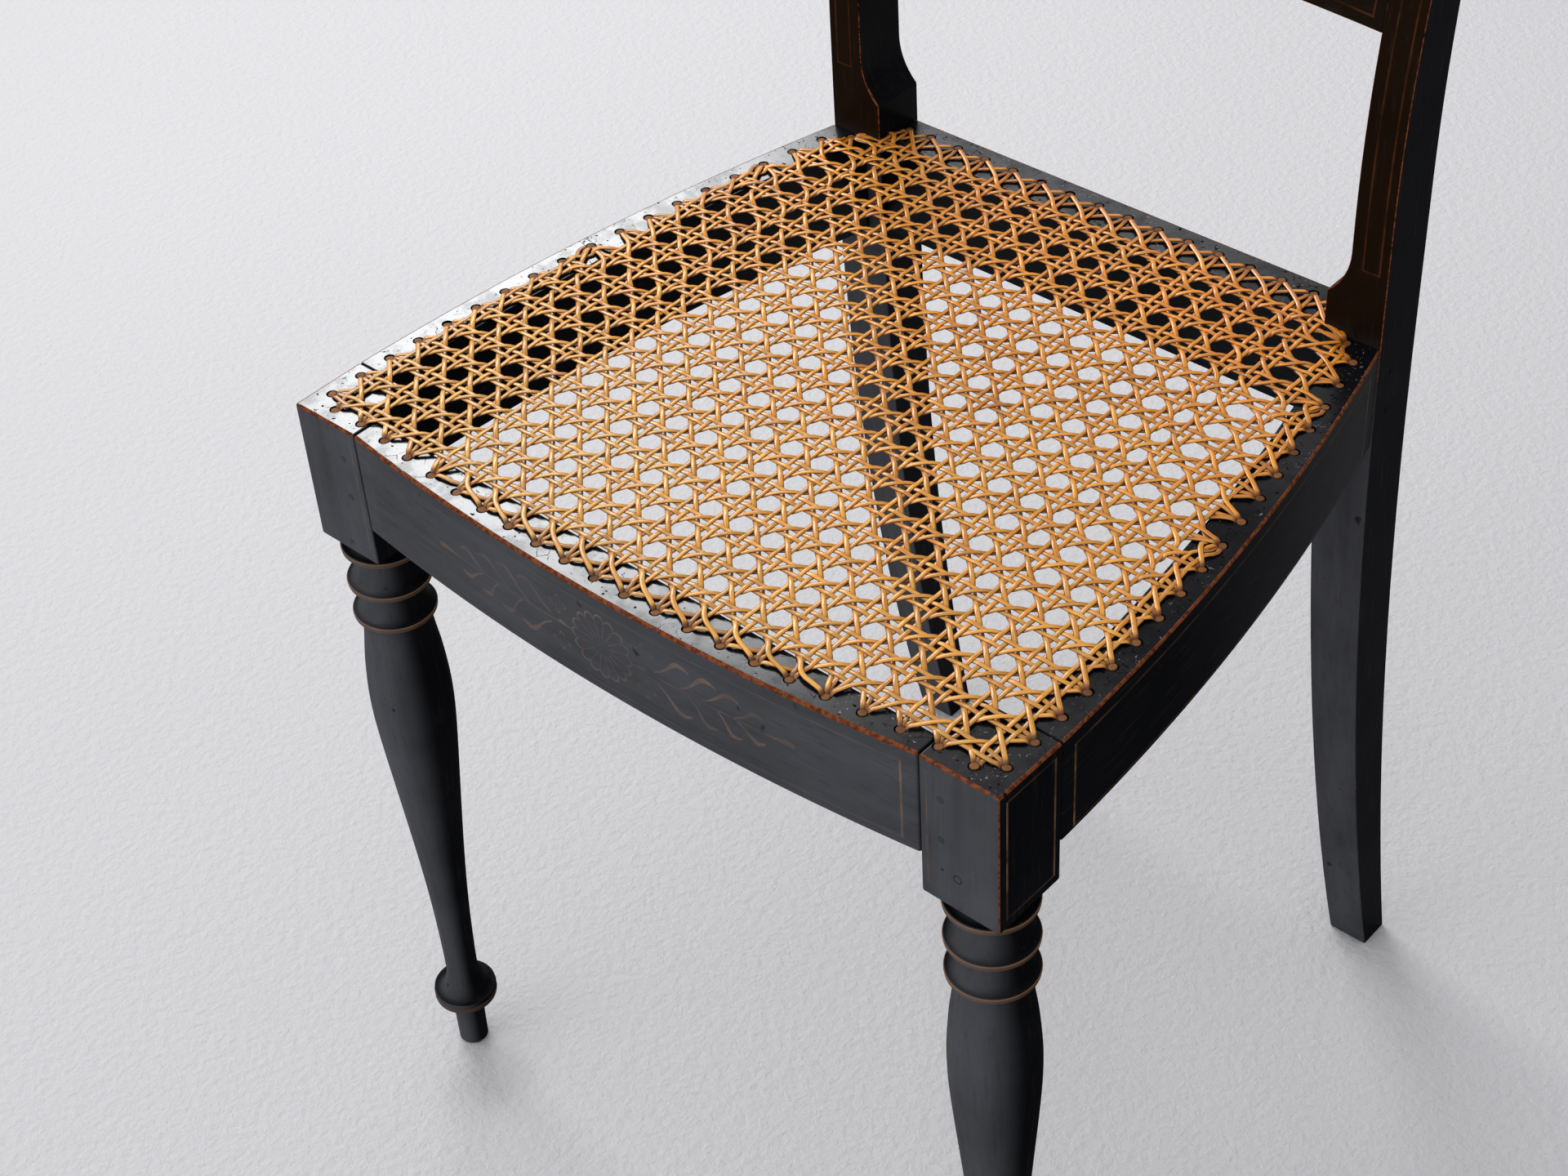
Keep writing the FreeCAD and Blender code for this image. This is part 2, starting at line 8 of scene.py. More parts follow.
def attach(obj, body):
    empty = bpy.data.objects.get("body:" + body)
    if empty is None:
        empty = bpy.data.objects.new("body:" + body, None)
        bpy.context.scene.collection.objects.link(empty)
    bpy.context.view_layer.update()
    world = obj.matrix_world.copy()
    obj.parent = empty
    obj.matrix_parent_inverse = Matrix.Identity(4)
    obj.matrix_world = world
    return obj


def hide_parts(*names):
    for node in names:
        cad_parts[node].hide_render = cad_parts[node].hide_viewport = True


# Painted side chair with a hand-caned seat, at its real size in metres. The sitter faces -Y.
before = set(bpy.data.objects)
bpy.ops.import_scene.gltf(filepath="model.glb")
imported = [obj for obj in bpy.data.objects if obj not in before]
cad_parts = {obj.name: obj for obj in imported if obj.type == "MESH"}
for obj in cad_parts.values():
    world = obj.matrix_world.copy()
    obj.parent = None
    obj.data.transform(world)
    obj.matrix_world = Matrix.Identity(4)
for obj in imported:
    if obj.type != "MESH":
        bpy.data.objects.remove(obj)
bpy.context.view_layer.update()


# Front legs. Each is one length of wood: a square block at the seat's corner, which takes the
# rails' tenons, and under it a turning with three rimmed rings, a long vase and a ringed foot.
# Painted black, lined in bronze, and worn to the red-brown wood along the arrises.
plan_shift = 0.03575
seat_height = 0.488
seat_front = -0.1785 - plan_shift
half_front = 0.220
block_width = 0.043
block_height = 0.083
block_arris = 0.0013
ring_heights = (0.0095, 0.0232, 0.0216)
ring_radius = 0.0221
ring_neck = 0.0150
flare_steps = 10
rim_height = 0.0036
rim_profile = ((-0.0007, 1.02), (-0.0001, 0.93), (0.0003, 0.72), (0.0002, 0.45), (0.0, 0.14), (-0.0006, 0.0))
rim_slack = 0.0003
rim_highlight_from = 0.7 * rim_height
low_rim_share = 0.36
foot_rim_share = 0.5
vase_radius = 0.0225
vase_shares = ((0.0, 0.79), (0.05, 0.84), (0.10, 0.92), (0.16, 0.98), (0.21, 1.0), (0.27, 0.98), (0.35, 0.91),
               (0.45, 0.805), (0.55, 0.70), (0.65, 0.60), (0.75, 0.515), (0.85, 0.455), (0.95, 0.42),
               (1.0, 0.415))
foot_ring_radius = 0.0183
foot_ring_height = 0.024
foot_ring_steps = 8
foot_rim_profile = ((0.0, 0.8), (0.0003, 0.5), (0.0, 0.15), (-0.0004, 0.0))
foot_peg_height = 0.040
foot_peg_radii = (0.009, 0.0086)
ankle = foot_peg_height + foot_ring_height
leg_splay = math.radians(0.87)
turned_steps = 56
turning_overlap = 0.002
cane_pitch = 0.01905
cane_hole_radius = 0.003
cane_hole_depth = 0.010
hole_wall = 0.0015
hole_inset = 0.009
rear_hole_inset = 0.0101
seat_depth = 0.357
half_rear = 0.176
post_width = 0.033
post_depth = 0.0335
rear_rail_setback = 0.0024
front_rail_bow = 0.012
side_rail_bulge = 0.009
block_inner = half_front - block_width
block_bottom = seat_height - block_height
block_back = seat_front + block_width
post_front = seat_front + seat_depth
post_back = post_front + post_depth
post_inner = half_rear - post_width
rear_rail_back = post_back - rear_rail_setback
smooth_angle = math.radians(38)
faint_wear = 0.3


def plan_circle(start, end, bulge):
    """Centre and radius of the circle through two plan points that bulges to the right of them."""
    chord = end - start
    radius = (chord.length_squared / 4 + bulge * bulge) / (2 * bulge)
    outward = Vector((chord.y, -chord.x)).normalized()
    return (start + end) / 2 - outward * (radius - bulge), radius


side_centre, side_radius = plan_circle(Vector((half_front, block_back)), Vector((half_rear, post_front)),
                                       side_rail_bulge)
front_centre, front_radius = plan_circle(Vector((-block_inner, seat_front)),
                                         Vector((block_inner, seat_front)), front_rail_bow)


def side_x(y, inset=0.0):
    """Half width of the seat at y, to a line kept inside its outer edge."""
    if y < block_back:
        return half_front - inset
    return side_centre.x + math.sqrt((side_radius - inset) ** 2 - (y - side_centre.y) ** 2)


def front_edge(x, inset=0.0):
    """Y of the seat's front at x, to a line kept inside its edge."""
    if abs(x) > block_inner:
        return seat_front + inset
    return front_centre.y - math.sqrt((front_radius - inset) ** 2 - x * x)


def half_steps(limit):
    return [(k + 0.5) * cane_pitch for k in range(int(limit / cane_pitch + 0.5))]


def cane_holes():
    """Plan places of the drilled holes on the front, rear and right-hand side, outwards from the middle."""
    front = [(x, front_edge(x, hole_inset)) for x in half_steps(half_front - 2 * hole_inset)]
    last = post_inner - cane_hole_radius - hole_wall
    rear = [(min(x, last), rear_rail_back - rear_hole_inset) for x in half_steps(post_inner)]
    side = {}
    for step, y in enumerate(half_steps(post_front + plan_shift - 2 * cane_hole_radius)):
        for row, place in ((step, y), (-step - 1, -y)):
            side[row] = (side_x(place - plan_shift, hole_inset), place - plan_shift)
    side[len(side) // 2] = ((post_inner + half_rear) / 2, post_front - cane_hole_radius - hole_wall)
    return front, rear, side


front_holes, rear_holes, side_holes = cane_holes()


def on_both_sides(places):
    """Each place with its mirror image on the other side of the chair."""
    return [(side * x, y) for x, y in places for side in (-1, 1)]


def block_holes():
    """The holes that touch the right-hand block."""
    return [(x, y) for x, y in front_holes + list(side_holes.values())
            if x > block_inner - cane_hole_radius and y < block_back + cane_hole_radius]


def block_between(bm, low, high):
    """A plain block between two corners."""
    made = bmesh.ops.create_cube(bm, size=1.0)["verts"]
    low, high = Vector(low), Vector(high)
    bmesh.ops.scale(bm, verts=made, vec=high - low)
    bmesh.ops.translate(bm, verts=made, vec=(low + high) / 2)


def rounded(bm, edges, width, segments, clamp=False):
    """Rounds edges off, and gives the faces that this makes."""
    return bmesh.ops.bevel(bm, geom=edges, offset=width, offset_type="OFFSET", affect="EDGES",
                           segments=segments, profile=0.5, material=-1, clamp_overlap=clamp)["faces"]


def round_arrises(bm, width, rubbed, segments=3, sharpest=math.radians(25)):
    """Rounds every sharp edge. A rub is the way that an arris looks, how worn it is, and how narrowly."""
    arris = bm.faces.layers.float.new("arris")
    edges = [e for e in bm.edges if e.is_manifold and e.calc_face_angle(0) > sharpest]
    for face in rounded(bm, edges, width, segments, clamp=True):
        face.normal_update()
        face[arris] = faint_wear
        for way, worn, narrow in rubbed:
            if face.normal.dot(Vector(way).normalized()) > narrow:
                face[arris] = worn


def added(name, data):
    """A new object of the scene."""
    obj = bpy.data.objects.new(name, data)
    bpy.context.scene.collection.objects.link(obj)
    return obj


def object_of(name, bm):
    """Turns a bmesh into an object of the scene."""
    mesh = bpy.data.meshes.new(name)
    bm.to_mesh(mesh)
    bm.free()
    return added(name, mesh)


def mesh_of(obj):
    """The mesh that an object has with its modifiers or its sweep."""
    return bpy.data.meshes.new_from_object(obj.evaluated_get(bpy.context.evaluated_depsgraph_get()))


def drilled(obj, places):
    """Cuts the blind cane holes into a piece with one set of drills."""
    bm = bmesh.new()
    for x, y in places:
        bmesh.ops.create_cone(bm, cap_ends=True, segments=20, radius1=cane_hole_radius,
                              radius2=cane_hole_radius, depth=2 * cane_hole_depth,
                              matrix=Matrix.Translation((x, y, seat_height)))
    drills = object_of("drills", bm)
    cut = obj.modifiers.new("drilling", "BOOLEAN")
    cut.object, cut.operation, cut.solver = drills, "DIFFERENCE", "EXACT"
    shaped = mesh_of(obj)
    obj.modifiers.clear()
    obj.data = shaped
    bpy.data.objects.remove(drills)


def piece(name, bm, material, holes=(), nodes=(), crisp=True):
    """Makes a finished object of the mesh, which stands for its CAD nodes and rides on the chair."""
    bmesh.ops.recalc_face_normals(bm, faces=bm.faces)
    obj = object_of(name, bm)
    if holes:
        drilled(obj, holes)
    obj.data.shade_smooth()
    if crisp:
        obj.data.set_sharp_from_angle(angle=smooth_angle)
        obj.modifiers.new("even_shading", "WEIGHTED_NORMAL").keep_sharp = True
    obj.data.materials.clear()
    obj.data.materials.append(material)
    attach(obj, "root")
    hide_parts(*(nodes or [name]))


class Wire:
    """A value on its way through a material's nodes. Arithmetic on it adds Math nodes."""

    def __init__(self, socket):
        self.socket, self.tree = socket, socket.id_data

    def __add__(self, other):
        return calc("ADD", self, other)

    def __sub__(self, other):
        return calc("SUBTRACT", self, other)

    def __rsub__(self, other):
        return calc("SUBTRACT", other, self)

    def __mul__(self, other):
        return calc("MULTIPLY", self, other)

    def __truediv__(self, other):
        return calc("DIVIDE", self, other)

    def __abs__(self):
        return calc("ABSOLUTE", self)


def place(tree, kind, inputs=None, **settings):
    """Adds a shader node with its settings, and wires or sets its inputs."""
    made = tree.nodes.new("ShaderNode" + kind)
    for name, value in settings.items():
        setattr(made, name, value)
    for socket, value in (inputs or {}).items():
        if isinstance(value, Wire):
            tree.links.new(value.socket, made.inputs[socket])
        else:
            made.inputs[socket].default_value = value
    return made


def wires(node):
    """A node's outputs by name."""
    return {socket.name: Wire(socket) for socket in node.outputs}


def tree_of(*values):
    return next(value.tree for value in values if isinstance(value, Wire))


def calc(operation, *values, clamp=False):
    """A Math node's result."""
    made = place(tree_of(*values), "Math", dict(enumerate(values)), operation=operation, use_clamp=clamp)
    return wires(made)["Value"]


def lifted(value, gain, base, clamp=False):
    """A value times its gain, on top of a base."""
    return calc("MULTIPLY_ADD", value, gain, base, clamp=clamp)


def larger(a, b):
    return calc("MAXIMUM", a, b)


def ramp(value, low, high):
    """0 below low, 1 above high, and smooth between."""
    made = place(value.tree, "MapRange", {"Value": value, "From Min": low, "From Max": high},
                 interpolation_type="SMOOTHSTEP", clamp=True)
    return wires(made)["Result"]


def fade(value, low, high):
    """1 below low, 0 above high, and smooth between."""
    return 1.0 - ramp(value, low, high)


def blend(factor, a, b, kind="MIX"):
    """A mix of two colours, each wired or three numbers."""
    a, b = (c if isinstance(c, Wire) else (*c[:3], 1.0) for c in (a, b))
    made = place(tree_of(factor, a, b), "Mix", {"Factor": factor, 6: a, 7: b}, data_type="RGBA",
                 blend_type=kind)
    return Wire(made.outputs[2])


def scaled(vector, by):
    return wires(place(vector.tree, "VectorMath", {0: vector, 1: by}, operation="MULTIPLY"))["Vector"]


def speckle(where, scale, detail=4.0, rough=0.55, stretch=(1, 1, 1)):
    """Noise on a vector, stretched along an axis where its number is small."""
    made = place(where.tree, "TexNoise", {"Vector": scaled(where, stretch), "Scale": scale, "Detail": detail,
                                          "Roughness": rough})
    return wires(made)["Fac"]


def parts_of(vector):
    return wires(place(vector.tree, "SeparateXYZ", {"Vector": vector}))


def carried(tree, layer_name):
    """A value that the mesh's faces carry."""
    return wires(place(tree, "Attribute", attribute_name=layer_name))["Fac"]


def effect(name, inputs, outputs):
    """An empty shader node group. Its inputs' values say whether they are numbers, vectors or colours."""
    tree = bpy.data.node_groups.new(name, "ShaderNodeTree")
    for label, value in inputs.items():
        kind = "Float" if isinstance(value, float) else "Vector" if len(value) == 3 else "Color"
        socket = tree.interface.new_socket(label, in_out="INPUT", socket_type="NodeSocket" + kind)
        socket.default_value = value
    for label, kind in outputs.items():
        tree.interface.new_socket(label, in_out="OUTPUT", socket_type="NodeSocket" + kind)
    return tree, wires(tree.nodes.new("NodeGroupInput")), tree.nodes.new("NodeGroupOutput").inputs


def end_at(socket, value):
    value.tree.links.new(value.socket, socket)


def use(group, inputs):
    """Places an effect in the material of the values that it takes, and gives its outputs."""
    return wires(place(tree_of(*inputs.values()), "Group", inputs, node_tree=group))


def new_material(name):
    """An empty material, its node tree, and where it is on a piece."""
    made = bpy.data.materials.new(name)
    made.use_nodes = True
    made.node_tree.nodes.clear()
    return made, made.node_tree, wires(place(made.node_tree, "TexCoord"))


def surfaced(height, relief, inputs, strength=1.0):
    """Ends a material with its shader, on a bump of the given relief."""
    tree = height.tree
    bump = place(tree, "Bump", {"Height": height, "Strength": strength, "Distance": relief})
    shader = place(tree, "BsdfPrincipled", {**inputs, "Normal": wires(bump)["Normal"]})
    place(tree, "OutputMaterial", {"Surface": wires(shader)["BSDF"]})


def lined_panel():
    """Mask of a thin painted line round a rectangle, thinned out where it is worn."""
    tree, given, result = effect("lined_panel", {
        "Across": 0.0, "Up": 0.0, "Middle Across": 0.0, "Middle Up": 0.0, "Half Width": 0.1,
        "Half Height": 0.1, "Line": 0.0012, "Facing": 0.0, "Strength": 1.0, "Level Share": 1.0},
        {"Mask": "Float"})
    beside = abs(given["Across"] - given["Middle Across"]) - given["Half Width"]
    above = abs(given["Up"] - given["Middle Up"]) - given["Half Height"]
    level = calc("GREATER_THAN", above, beside)
    share = lifted(level, given["Level Share"] - 1.0, 1.0)
    off = abs(larger(beside, above)) / given["Line"]
    where = wires(place(tree, "TexCoord"))["Object"]
    kept = lifted(ramp(speckle(where, 60.0, 6.0, 0.6), 0.36, 0.62), 0.75, 0.25)
    line = fade(off, 0.36, 0.64) * kept * calc("GREATER_THAN", given["Facing"], 0.7)
    end_at(result["Mask"], line * (given["Strength"] * share))
    return tree


pit_black = (0.006, 0.005, 0.005)


def old_paint():
    """Thin old paint on wood: clouded black, worn arrises, chips, brush marks, a crazed upper face with
    painted glints, and a painted sheen on faces that look forward.
    """
    tree, given, result = effect("old_paint", {
        "Paint": (0.01, 0.01, 0.01, 1.0), "Arris": 0.0, "Bronze": 0.0, "Mark": 0.0, "Front Sheen Tint": 0.0,
        "Front Sheen Tint Color": (0.087, 0.090, 0.100, 1.0), "Gilding": (0.33, 0.19, 0.105, 1.0), "Sheen": 0.0,
        "Side Sheen": 0.0, "Grain Stretch": (1.0, 1.0, 0.1)},
        {"Color": "Color", "Roughness": "Float", "Height": "Float", "Coat": "Float"})
    spot = wires(place(tree, "TexCoord"))
    where = spot["Object"]
    at, facing = parts_of(where), parts_of(spot["Normal"])
    top = ramp(facing["Z"], 0.75, 0.95) * ramp(at["Z"], seat_height - 0.006, seat_height - 0.003)
    front = ramp(facing["Y"] * -1.0, 0.15, 1.0)
    cloud = speckle(where, 14.0, 5.0, 0.6)
    patch = speckle(where, 75.0, 6.0, 0.62)
    fine = speckle(where, 420.0, 4.0, 0.6)
    grit = speckle(where, 1100.0, 2.0, 0.6)
    along = scaled(where, given["Grain Stretch"])
    brushed = speckle(along, 420.0, 5.0, 0.65)
    streak = speckle(along, 70.0, 5.0, 0.6)

    # crazing and pits of the upper faces
    wander = wires(place(tree, "TexNoise", {"Vector": where, "Scale": 160.0, "Detail": 4.0}))["Color"]
    warp = wires(place(tree, "VectorMath", {0: wander, 1: (0.006, 0.006, 0.006), 2: where},
                       operation="MULTIPLY_ADD"))["Vector"]
    crack = wires(place(tree, "TexVoronoi", {"Vector": warp, "Scale": 150.0}, feature="DISTANCE_TO_EDGE"))
    broken = ramp(speckle(where, 110.0, 3.0, 0.6), 0.55, 0.66)
    crazed = fade(crack["Distance"], 0.01, 0.05) * broken * top
    pits = ramp(speckle(where, 330.0, 2.0, 0.5), 0.66, 0.71) * top

    # wear of the arrises, and dents
    worn = given["Arris"] + (patch - 0.5) * 1.2 + (fine - 0.5) * 0.5
    worn = ramp(worn, 0.62, 0.78) * calc("GREATER_THAN", given["Arris"], 0.05)
    dents = ramp(speckle(where, 120.0, 2.0, 0.5, (1.0, 1.0, 0.6)), 0.71, 0.78)

    # colour
    clouds = blend(ramp(cloud, 0.35, 0.75), (0.8, 0.8, 0.8), (1.7, 1.6, 1.55))
    skin = blend(1.0, given["Paint"], clouds, "MULTIPLY")
    # painted sheen: faces that look forward are lightened towards a pale blue-grey, standing for the light
    # they catch from the front, partly the old paint's bloom. On the posts above the seat and on the back
    # boards, the same tint is a brown varnish.
    drift = lifted(cloud, 0.8, 0.05) + streak * 0.8
    front_sheen_tint = calc("MULTIPLY", given["Front Sheen Tint"] * front, drift, clamp=True)
    skin = blend(front_sheen_tint, skin, given["Front Sheen Tint Color"])
    skin = blend(ramp(brushed, 0.52, 0.72) * 0.35, skin, (0.026, 0.023, 0.022))
    skin = blend(larger(dents * 0.7, given["Mark"]), skin, pit_black)
    skin = blend(larger(crazed * 0.7, pits), skin, pit_black)
    # painted glints: pale specks in the colour of the seat's top faces, standing for highlights on small
    # bumps of the gloss
    painted_glints = ramp(speckle(where, 560.0, 3.0, 0.6), 0.635, 0.68) * top
    painted_glints *= ramp(speckle(where, 60.0, 2.0, 0.5), 0.44, 0.60)
    skin = blend(painted_glints * 0.55, skin, (0.42, 0.42, 0.43))
    tarnish = blend(patch, (0.42, 0.40, 0.36), (1.15, 1.15, 1.15))
    skin = blend(given["Bronze"] * 0.9, skin, blend(1.0, given["Gilding"], tarnish, "MULTIPLY"))
    wood = blend(ramp(fine, 0.38, 0.62), (0.110, 0.029, 0.012), (0.25, 0.078, 0.031))
    end_at(result["Color"], blend(worn, skin, wood))

    # roughness and relief
    rough = lifted(cloud, 0.16, 0.34) - top * 0.16 + larger(worn, crazed) * 0.28
    end_at(result["Roughness"], lifted(grit, 0.06, rough, clamp=True))
    height = lifted(grit, 0.006, brushed * 0.030)
    for mask, depth in ((dents, -0.25), (given["Mark"], -0.20), (crazed, -0.14), (pits, -0.20),
                        (worn, -0.15)):
        height = lifted(mask, depth, height)
    rolling = speckle(where, 190.0, 3.0, 0.5) * top
    end_at(result["Height"], lifted(rolling, 0.09, height))

    # gloss: polished on the seat's top, and less so towards the sitter's left
    bare = larger(worn, larger(crazed, pits))
    outer = ramp(facing["X"], 0.1, 0.85)
    sheen = lifted(outer, given["Side Sheen"] - given["Sheen"], given["Sheen"]) * 0.6
    polish = lifted(ramp(patch, 0.36, 0.56), 0.30, 0.68) * lifted(ramp(at["X"], 0.03, 0.17), -0.65, 1.0)
    sheen = larger(sheen, top * polish)
    end_at(result["Coat"], calc("MULTIPLY", sheen, 1.0 - bare, clamp=True))
    return tree


paint_group = old_paint()
panel_group = lined_panel()
black = (0.0042, 0.0047, 0.0060, 1.0)
rim_bronze = (0.26, 0.150, 0.085, 1.0)
line_bronze = (0.30, 0.165, 0.065, 1.0)


# front_sheen_tint: how strongly faces that look forward are lightened, as a painted sheen partly from the
# paint's bloom
def painted(name, grain=(1.0, 1.0, 0.08), panels=(), front_sheen_tint=0.0, sheen=0.12, side_sheen=0.02, gilding=None,
            marks=None, side_map=None, front_sheen_tint_map=None, gilding_tint=rim_bronze, level_share=1.0):
    """Black paint with bronze lines. A panel is its face's axis and side, its middle and half sizes, its
    line's width, and how strong the line is at its left or front end and at its other end."""
    made, tree, spot = new_material(name)
    where = spot["Object"]
    at, facing = parts_of(where), parts_of(spot["Normal"])
    out = abs(at["X"])
    bronze = carried(tree, "gilt")
    for axis, side, middle, half, width, start, end in panels:
        if axis == "X":
            across = run = at["Y"]
            looks = facing["X"] * calc("SIGN", at["X"])
        else:
            across, run = out, out if middle[0] else at["X"]
            looks = facing["Y"] * side
        strength = place(tree, "MapRange", {"Value": run, "From Min": middle[0] - half[0],
                                            "From Max": middle[0] + half[0], "To Min": start, "To Max": end})
        line = use(panel_group, {
            "Across": across, "Up": at["Z"], "Middle Across": middle[0], "Middle Up": middle[1],
            "Half Width": half[0], "Half Height": half[1], "Line": width, "Facing": looks,
            "Strength": wires(strength)["Result"], "Level Share": level_share})["Mask"]
        bronze = larger(bronze, line)
    if gilding:
        bronze = larger(bronze, gilding(where, facing))
    given = {"Paint": black, "Arris": carried(tree, "arris"), "Bronze": bronze, "Front Sheen Tint": front_sheen_tint, "Sheen": sheen,
             "Side Sheen": side_sheen, "Grain Stretch": grain, "Gilding": gilding_tint}
    if side_map:
        given["Side Sheen"] = side_map(where)
    if front_sheen_tint_map:
        given["Front Sheen Tint Color"] = front_sheen_tint_map(where)
    if marks:
        given["Mark"] = marks(where, facing)
    skin = use(paint_group, given)
    surfaced(skin["Height"], 0.001, {
        "Base Color": skin["Color"], "Roughness": skin["Roughness"], "Specular IOR Level": 0.0,
        "Coat Weight": skin["Coat"], "Coat Roughness": 0.22, "Coat IOR": 1.95})
    return made


def distance_to(across, up, x, z):
    """Distance on a face to one place on it."""
    aside, rise = across - x, up - z
    return calc("SQRT", aside * aside + rise * rise)


# across, height and radius of each old plug, and whether only its rim shows
plug_places = ((0.1974, seat_height - 0.0630, 0.0021, True), (0.1890, seat_height - 0.0620, 0.0012, False),
               (0.1886, seat_height - 0.0196, 0.0015, False))


def plug_marks(where, facing):
    """Small round marks of old plugs under the paint, on the right-hand block's front."""
    at, mask = parts_of(where), 0.0
    for x, z, radius, ringed in plug_places:
        far = distance_to(at["X"], at["Z"], x, z)
        mark = fade(abs(far - radius), 0.0001, 0.0005) if ringed else fade(far, radius * 0.4, radius)
        mask = larger(mask, mark * 0.7)
    return mask * calc("LESS_THAN", facing["Y"], -0.7)


def smooth_vase():
    """The vase's outline with two more points between each of its named ones."""
    shares = list(vase_shares)
    before = (2 * shares[0][0] - shares[1][0], 2 * shares[0][1] - shares[1][1])
    after = (2 * shares[-1][0] - shares[-2][0], shares[-1][1])
    full = [before] + shares + [after]
    made = []
    for a, b, c, d in zip(full, full[1:], full[2:], full[3:]):
        for t in (0.0, 1 / 3, 2 / 3):
            made.append(tuple(0.5 * (2 * q + (r - p) * t + (2 * p - 5 * q + 4 * r - s) * t * t
                                     + (3 * q - p - 3 * r + s) * t ** 3) for p, q, r, s in zip(a, b, c, d)))
    return made + [shares[-1]]


def leg_outline():
    """Radius and height down the turning, and which of its spans are gilded rims."""
    z = block_bottom
    points, rims = [(0.0, z + turning_overlap), (ring_neck, z + turning_overlap)], []
    for height in ring_heights:
        drop = height - rim_height
        for step in range(flare_steps):
            turn = step / flare_steps * math.pi / 2
            out = ring_radius - (ring_radius - ring_neck) * math.cos(turn)
            points.append((out, z - drop * math.sin(turn)))
        z -= height
        rims.append((z, z + rim_height))
        points += [(ring_radius + out, z + rise * rim_height) for out, rise in rim_profile]
    points += [(vase_radius * share, z - (z - ankle) * down) for down, share in smooth_vase()]
    ankle_radius = vase_radius * vase_shares[-1][1]
    lip = foot_peg_height + rim_height
    for step in range(1, foot_ring_steps + 1):
        turn = step / foot_ring_steps * math.pi / 2
        points.append((ankle_radius + (foot_ring_radius - ankle_radius) * (1 - math.cos(turn)),
                       ankle - (ankle - lip - rim_height) * math.sin(turn)))
    points += [(foot_ring_radius + out, lip + rise * rim_height) for out, rise in foot_rim_profile]
    rims.append((foot_peg_height, lip + 0.0002))
    peg_top, peg_end = foot_peg_radii
    points += [(foot_ring_radius + 0.0002, lip - 0.0004), (foot_ring_radius + 0.0003, lip - rim_height * 0.5),
               (foot_ring_radius, lip - rim_height * 0.9), (foot_ring_radius - 0.0006, foot_peg_height),
               (peg_top + 0.0004, foot_peg_height - 0.0003), (peg_top, foot_peg_height - 0.002),
               (peg_end, 0.0012), (peg_end - 0.0009, 0.0), (0.0, 0.0)]
    return points, rims


def gild_rims(bm, rims):
    """Marks the rims' faces for bronze: full on the upper part of a rim, as a painted highlight along its
    upper edge, and weaker below and on the foot.
    """
    gilt = bm.faces.layers.float.new("gilt")
    for face in bm.faces:
        at = face.calc_center_median()
        on_rim = any(low - rim_slack < at.z < high - 0.0002 for low, high in rims)
        if on_rim and math.hypot(at.x, at.y) > foot_ring_radius - 0.001:
            up = min(at.z - low for low, high in rims if at.z > low - rim_slack)
            # painted highlight: full bronze on the rim's upper part, weaker bronze below
            face[gilt] = 1.0 if up > rim_highlight_from else low_rim_share
            if at.z < ankle:
                face[gilt] *= foot_rim_share


block_rubs = (((0, -1, 1), 0.84, 0.8), ((1, 0, 1), 0.86, 0.8), ((1, -1, 0), 0.92, 0.95),
              ((0, -1, -1), 0.50, 0.8), ((1, 0, -1), 0.45, 0.8), ((1, -1, 1), 1.0, 0.85),
              ((1, -1, -1), 0.95, 0.85))
front_leg_paint = painted("front_leg_paint", front_sheen_tint=0.86, marks=plug_marks, level_share=0.3, panels=(
    ("Y", -1, (0.1975, 0.4475), (0.0165, 0.0335), 0.0011, 0.40, 0.04),
    ("X", 1, (seat_front + 0.0218, 0.4465), (0.0165, 0.0355), 0.0012, 0.95, 0.8)))
leg_points, leg_rims = leg_outline()
for side, name in ((1, "front_leg_right"), (-1, "front_leg_left")):
    bm = bmesh.new()
    start = [bm.verts.new((r, 0.0, z)) for r, z in leg_points]
    spokes = [bm.edges.new(pair) for pair in zip(start, start[1:])]
    bmesh.ops.spin(bm, geom=start + spokes, cent=(0, 0, 0), axis=(0, 0, 1), angle=2 * math.pi,
                   steps=turned_steps, use_merge=True)
    bmesh.ops.remove_doubles(bm, verts=bm.verts, dist=1e-6)
    gild_rims(bm, leg_rims)
    splay = Matrix.Rotation(-leg_splay, 3, "Y")
    bmesh.ops.rotate(bm, verts=bm.verts, cent=(0, 0, block_bottom), matrix=splay)
    for v in bm.verts:
        v.co.z = max(v.co.z, 0.0)
    middle = (half_front - block_width / 2, seat_front + block_width / 2, 0.0)
    bmesh.ops.translate(bm, verts=bm.verts, vec=middle)
    blocks = bmesh.new()
    block_between(blocks, (block_inner, seat_front, block_bottom), (half_front, block_back, seat_height))
    round_arrises(blocks, block_arris, block_rubs)
    block = object_of("block", blocks)
    drilled(block, block_holes())
    bm.from_mesh(block.data)
    bpy.data.objects.remove(block)
    bmesh.ops.scale(bm, verts=bm.verts, vec=(side, 1, 1))
    piece(name, bm, front_leg_paint)


# Rear posts. Each is sawn from one plank: a sabre leg below the seat, and above it a stile that
# is cut back with a cove on its inner side and leans away from the sitter.
stile_width = 0.0215
stile_top_depth = 0.024
foot_width = 0.025
foot_depth = 0.021
leg_sweep = 0.0625
rail_height = 0.060
rail_bottom = seat_height - rail_height
shoulder_rise = 0.022
cove_rise = 0.026
stile_straight = 0.067
stile_bend = 0.633
stile_rake = math.radians(11.2)
stile_rise = 0.280
stile_inner = half_rear - stile_width
bend_end_depth = (post_depth + stile_top_depth) / 2
leg_steps, cove_steps, bend_steps, stile_steps = 16, 8, 8, 4
post_arris = 0.0011
leg_wear_share = 0.55


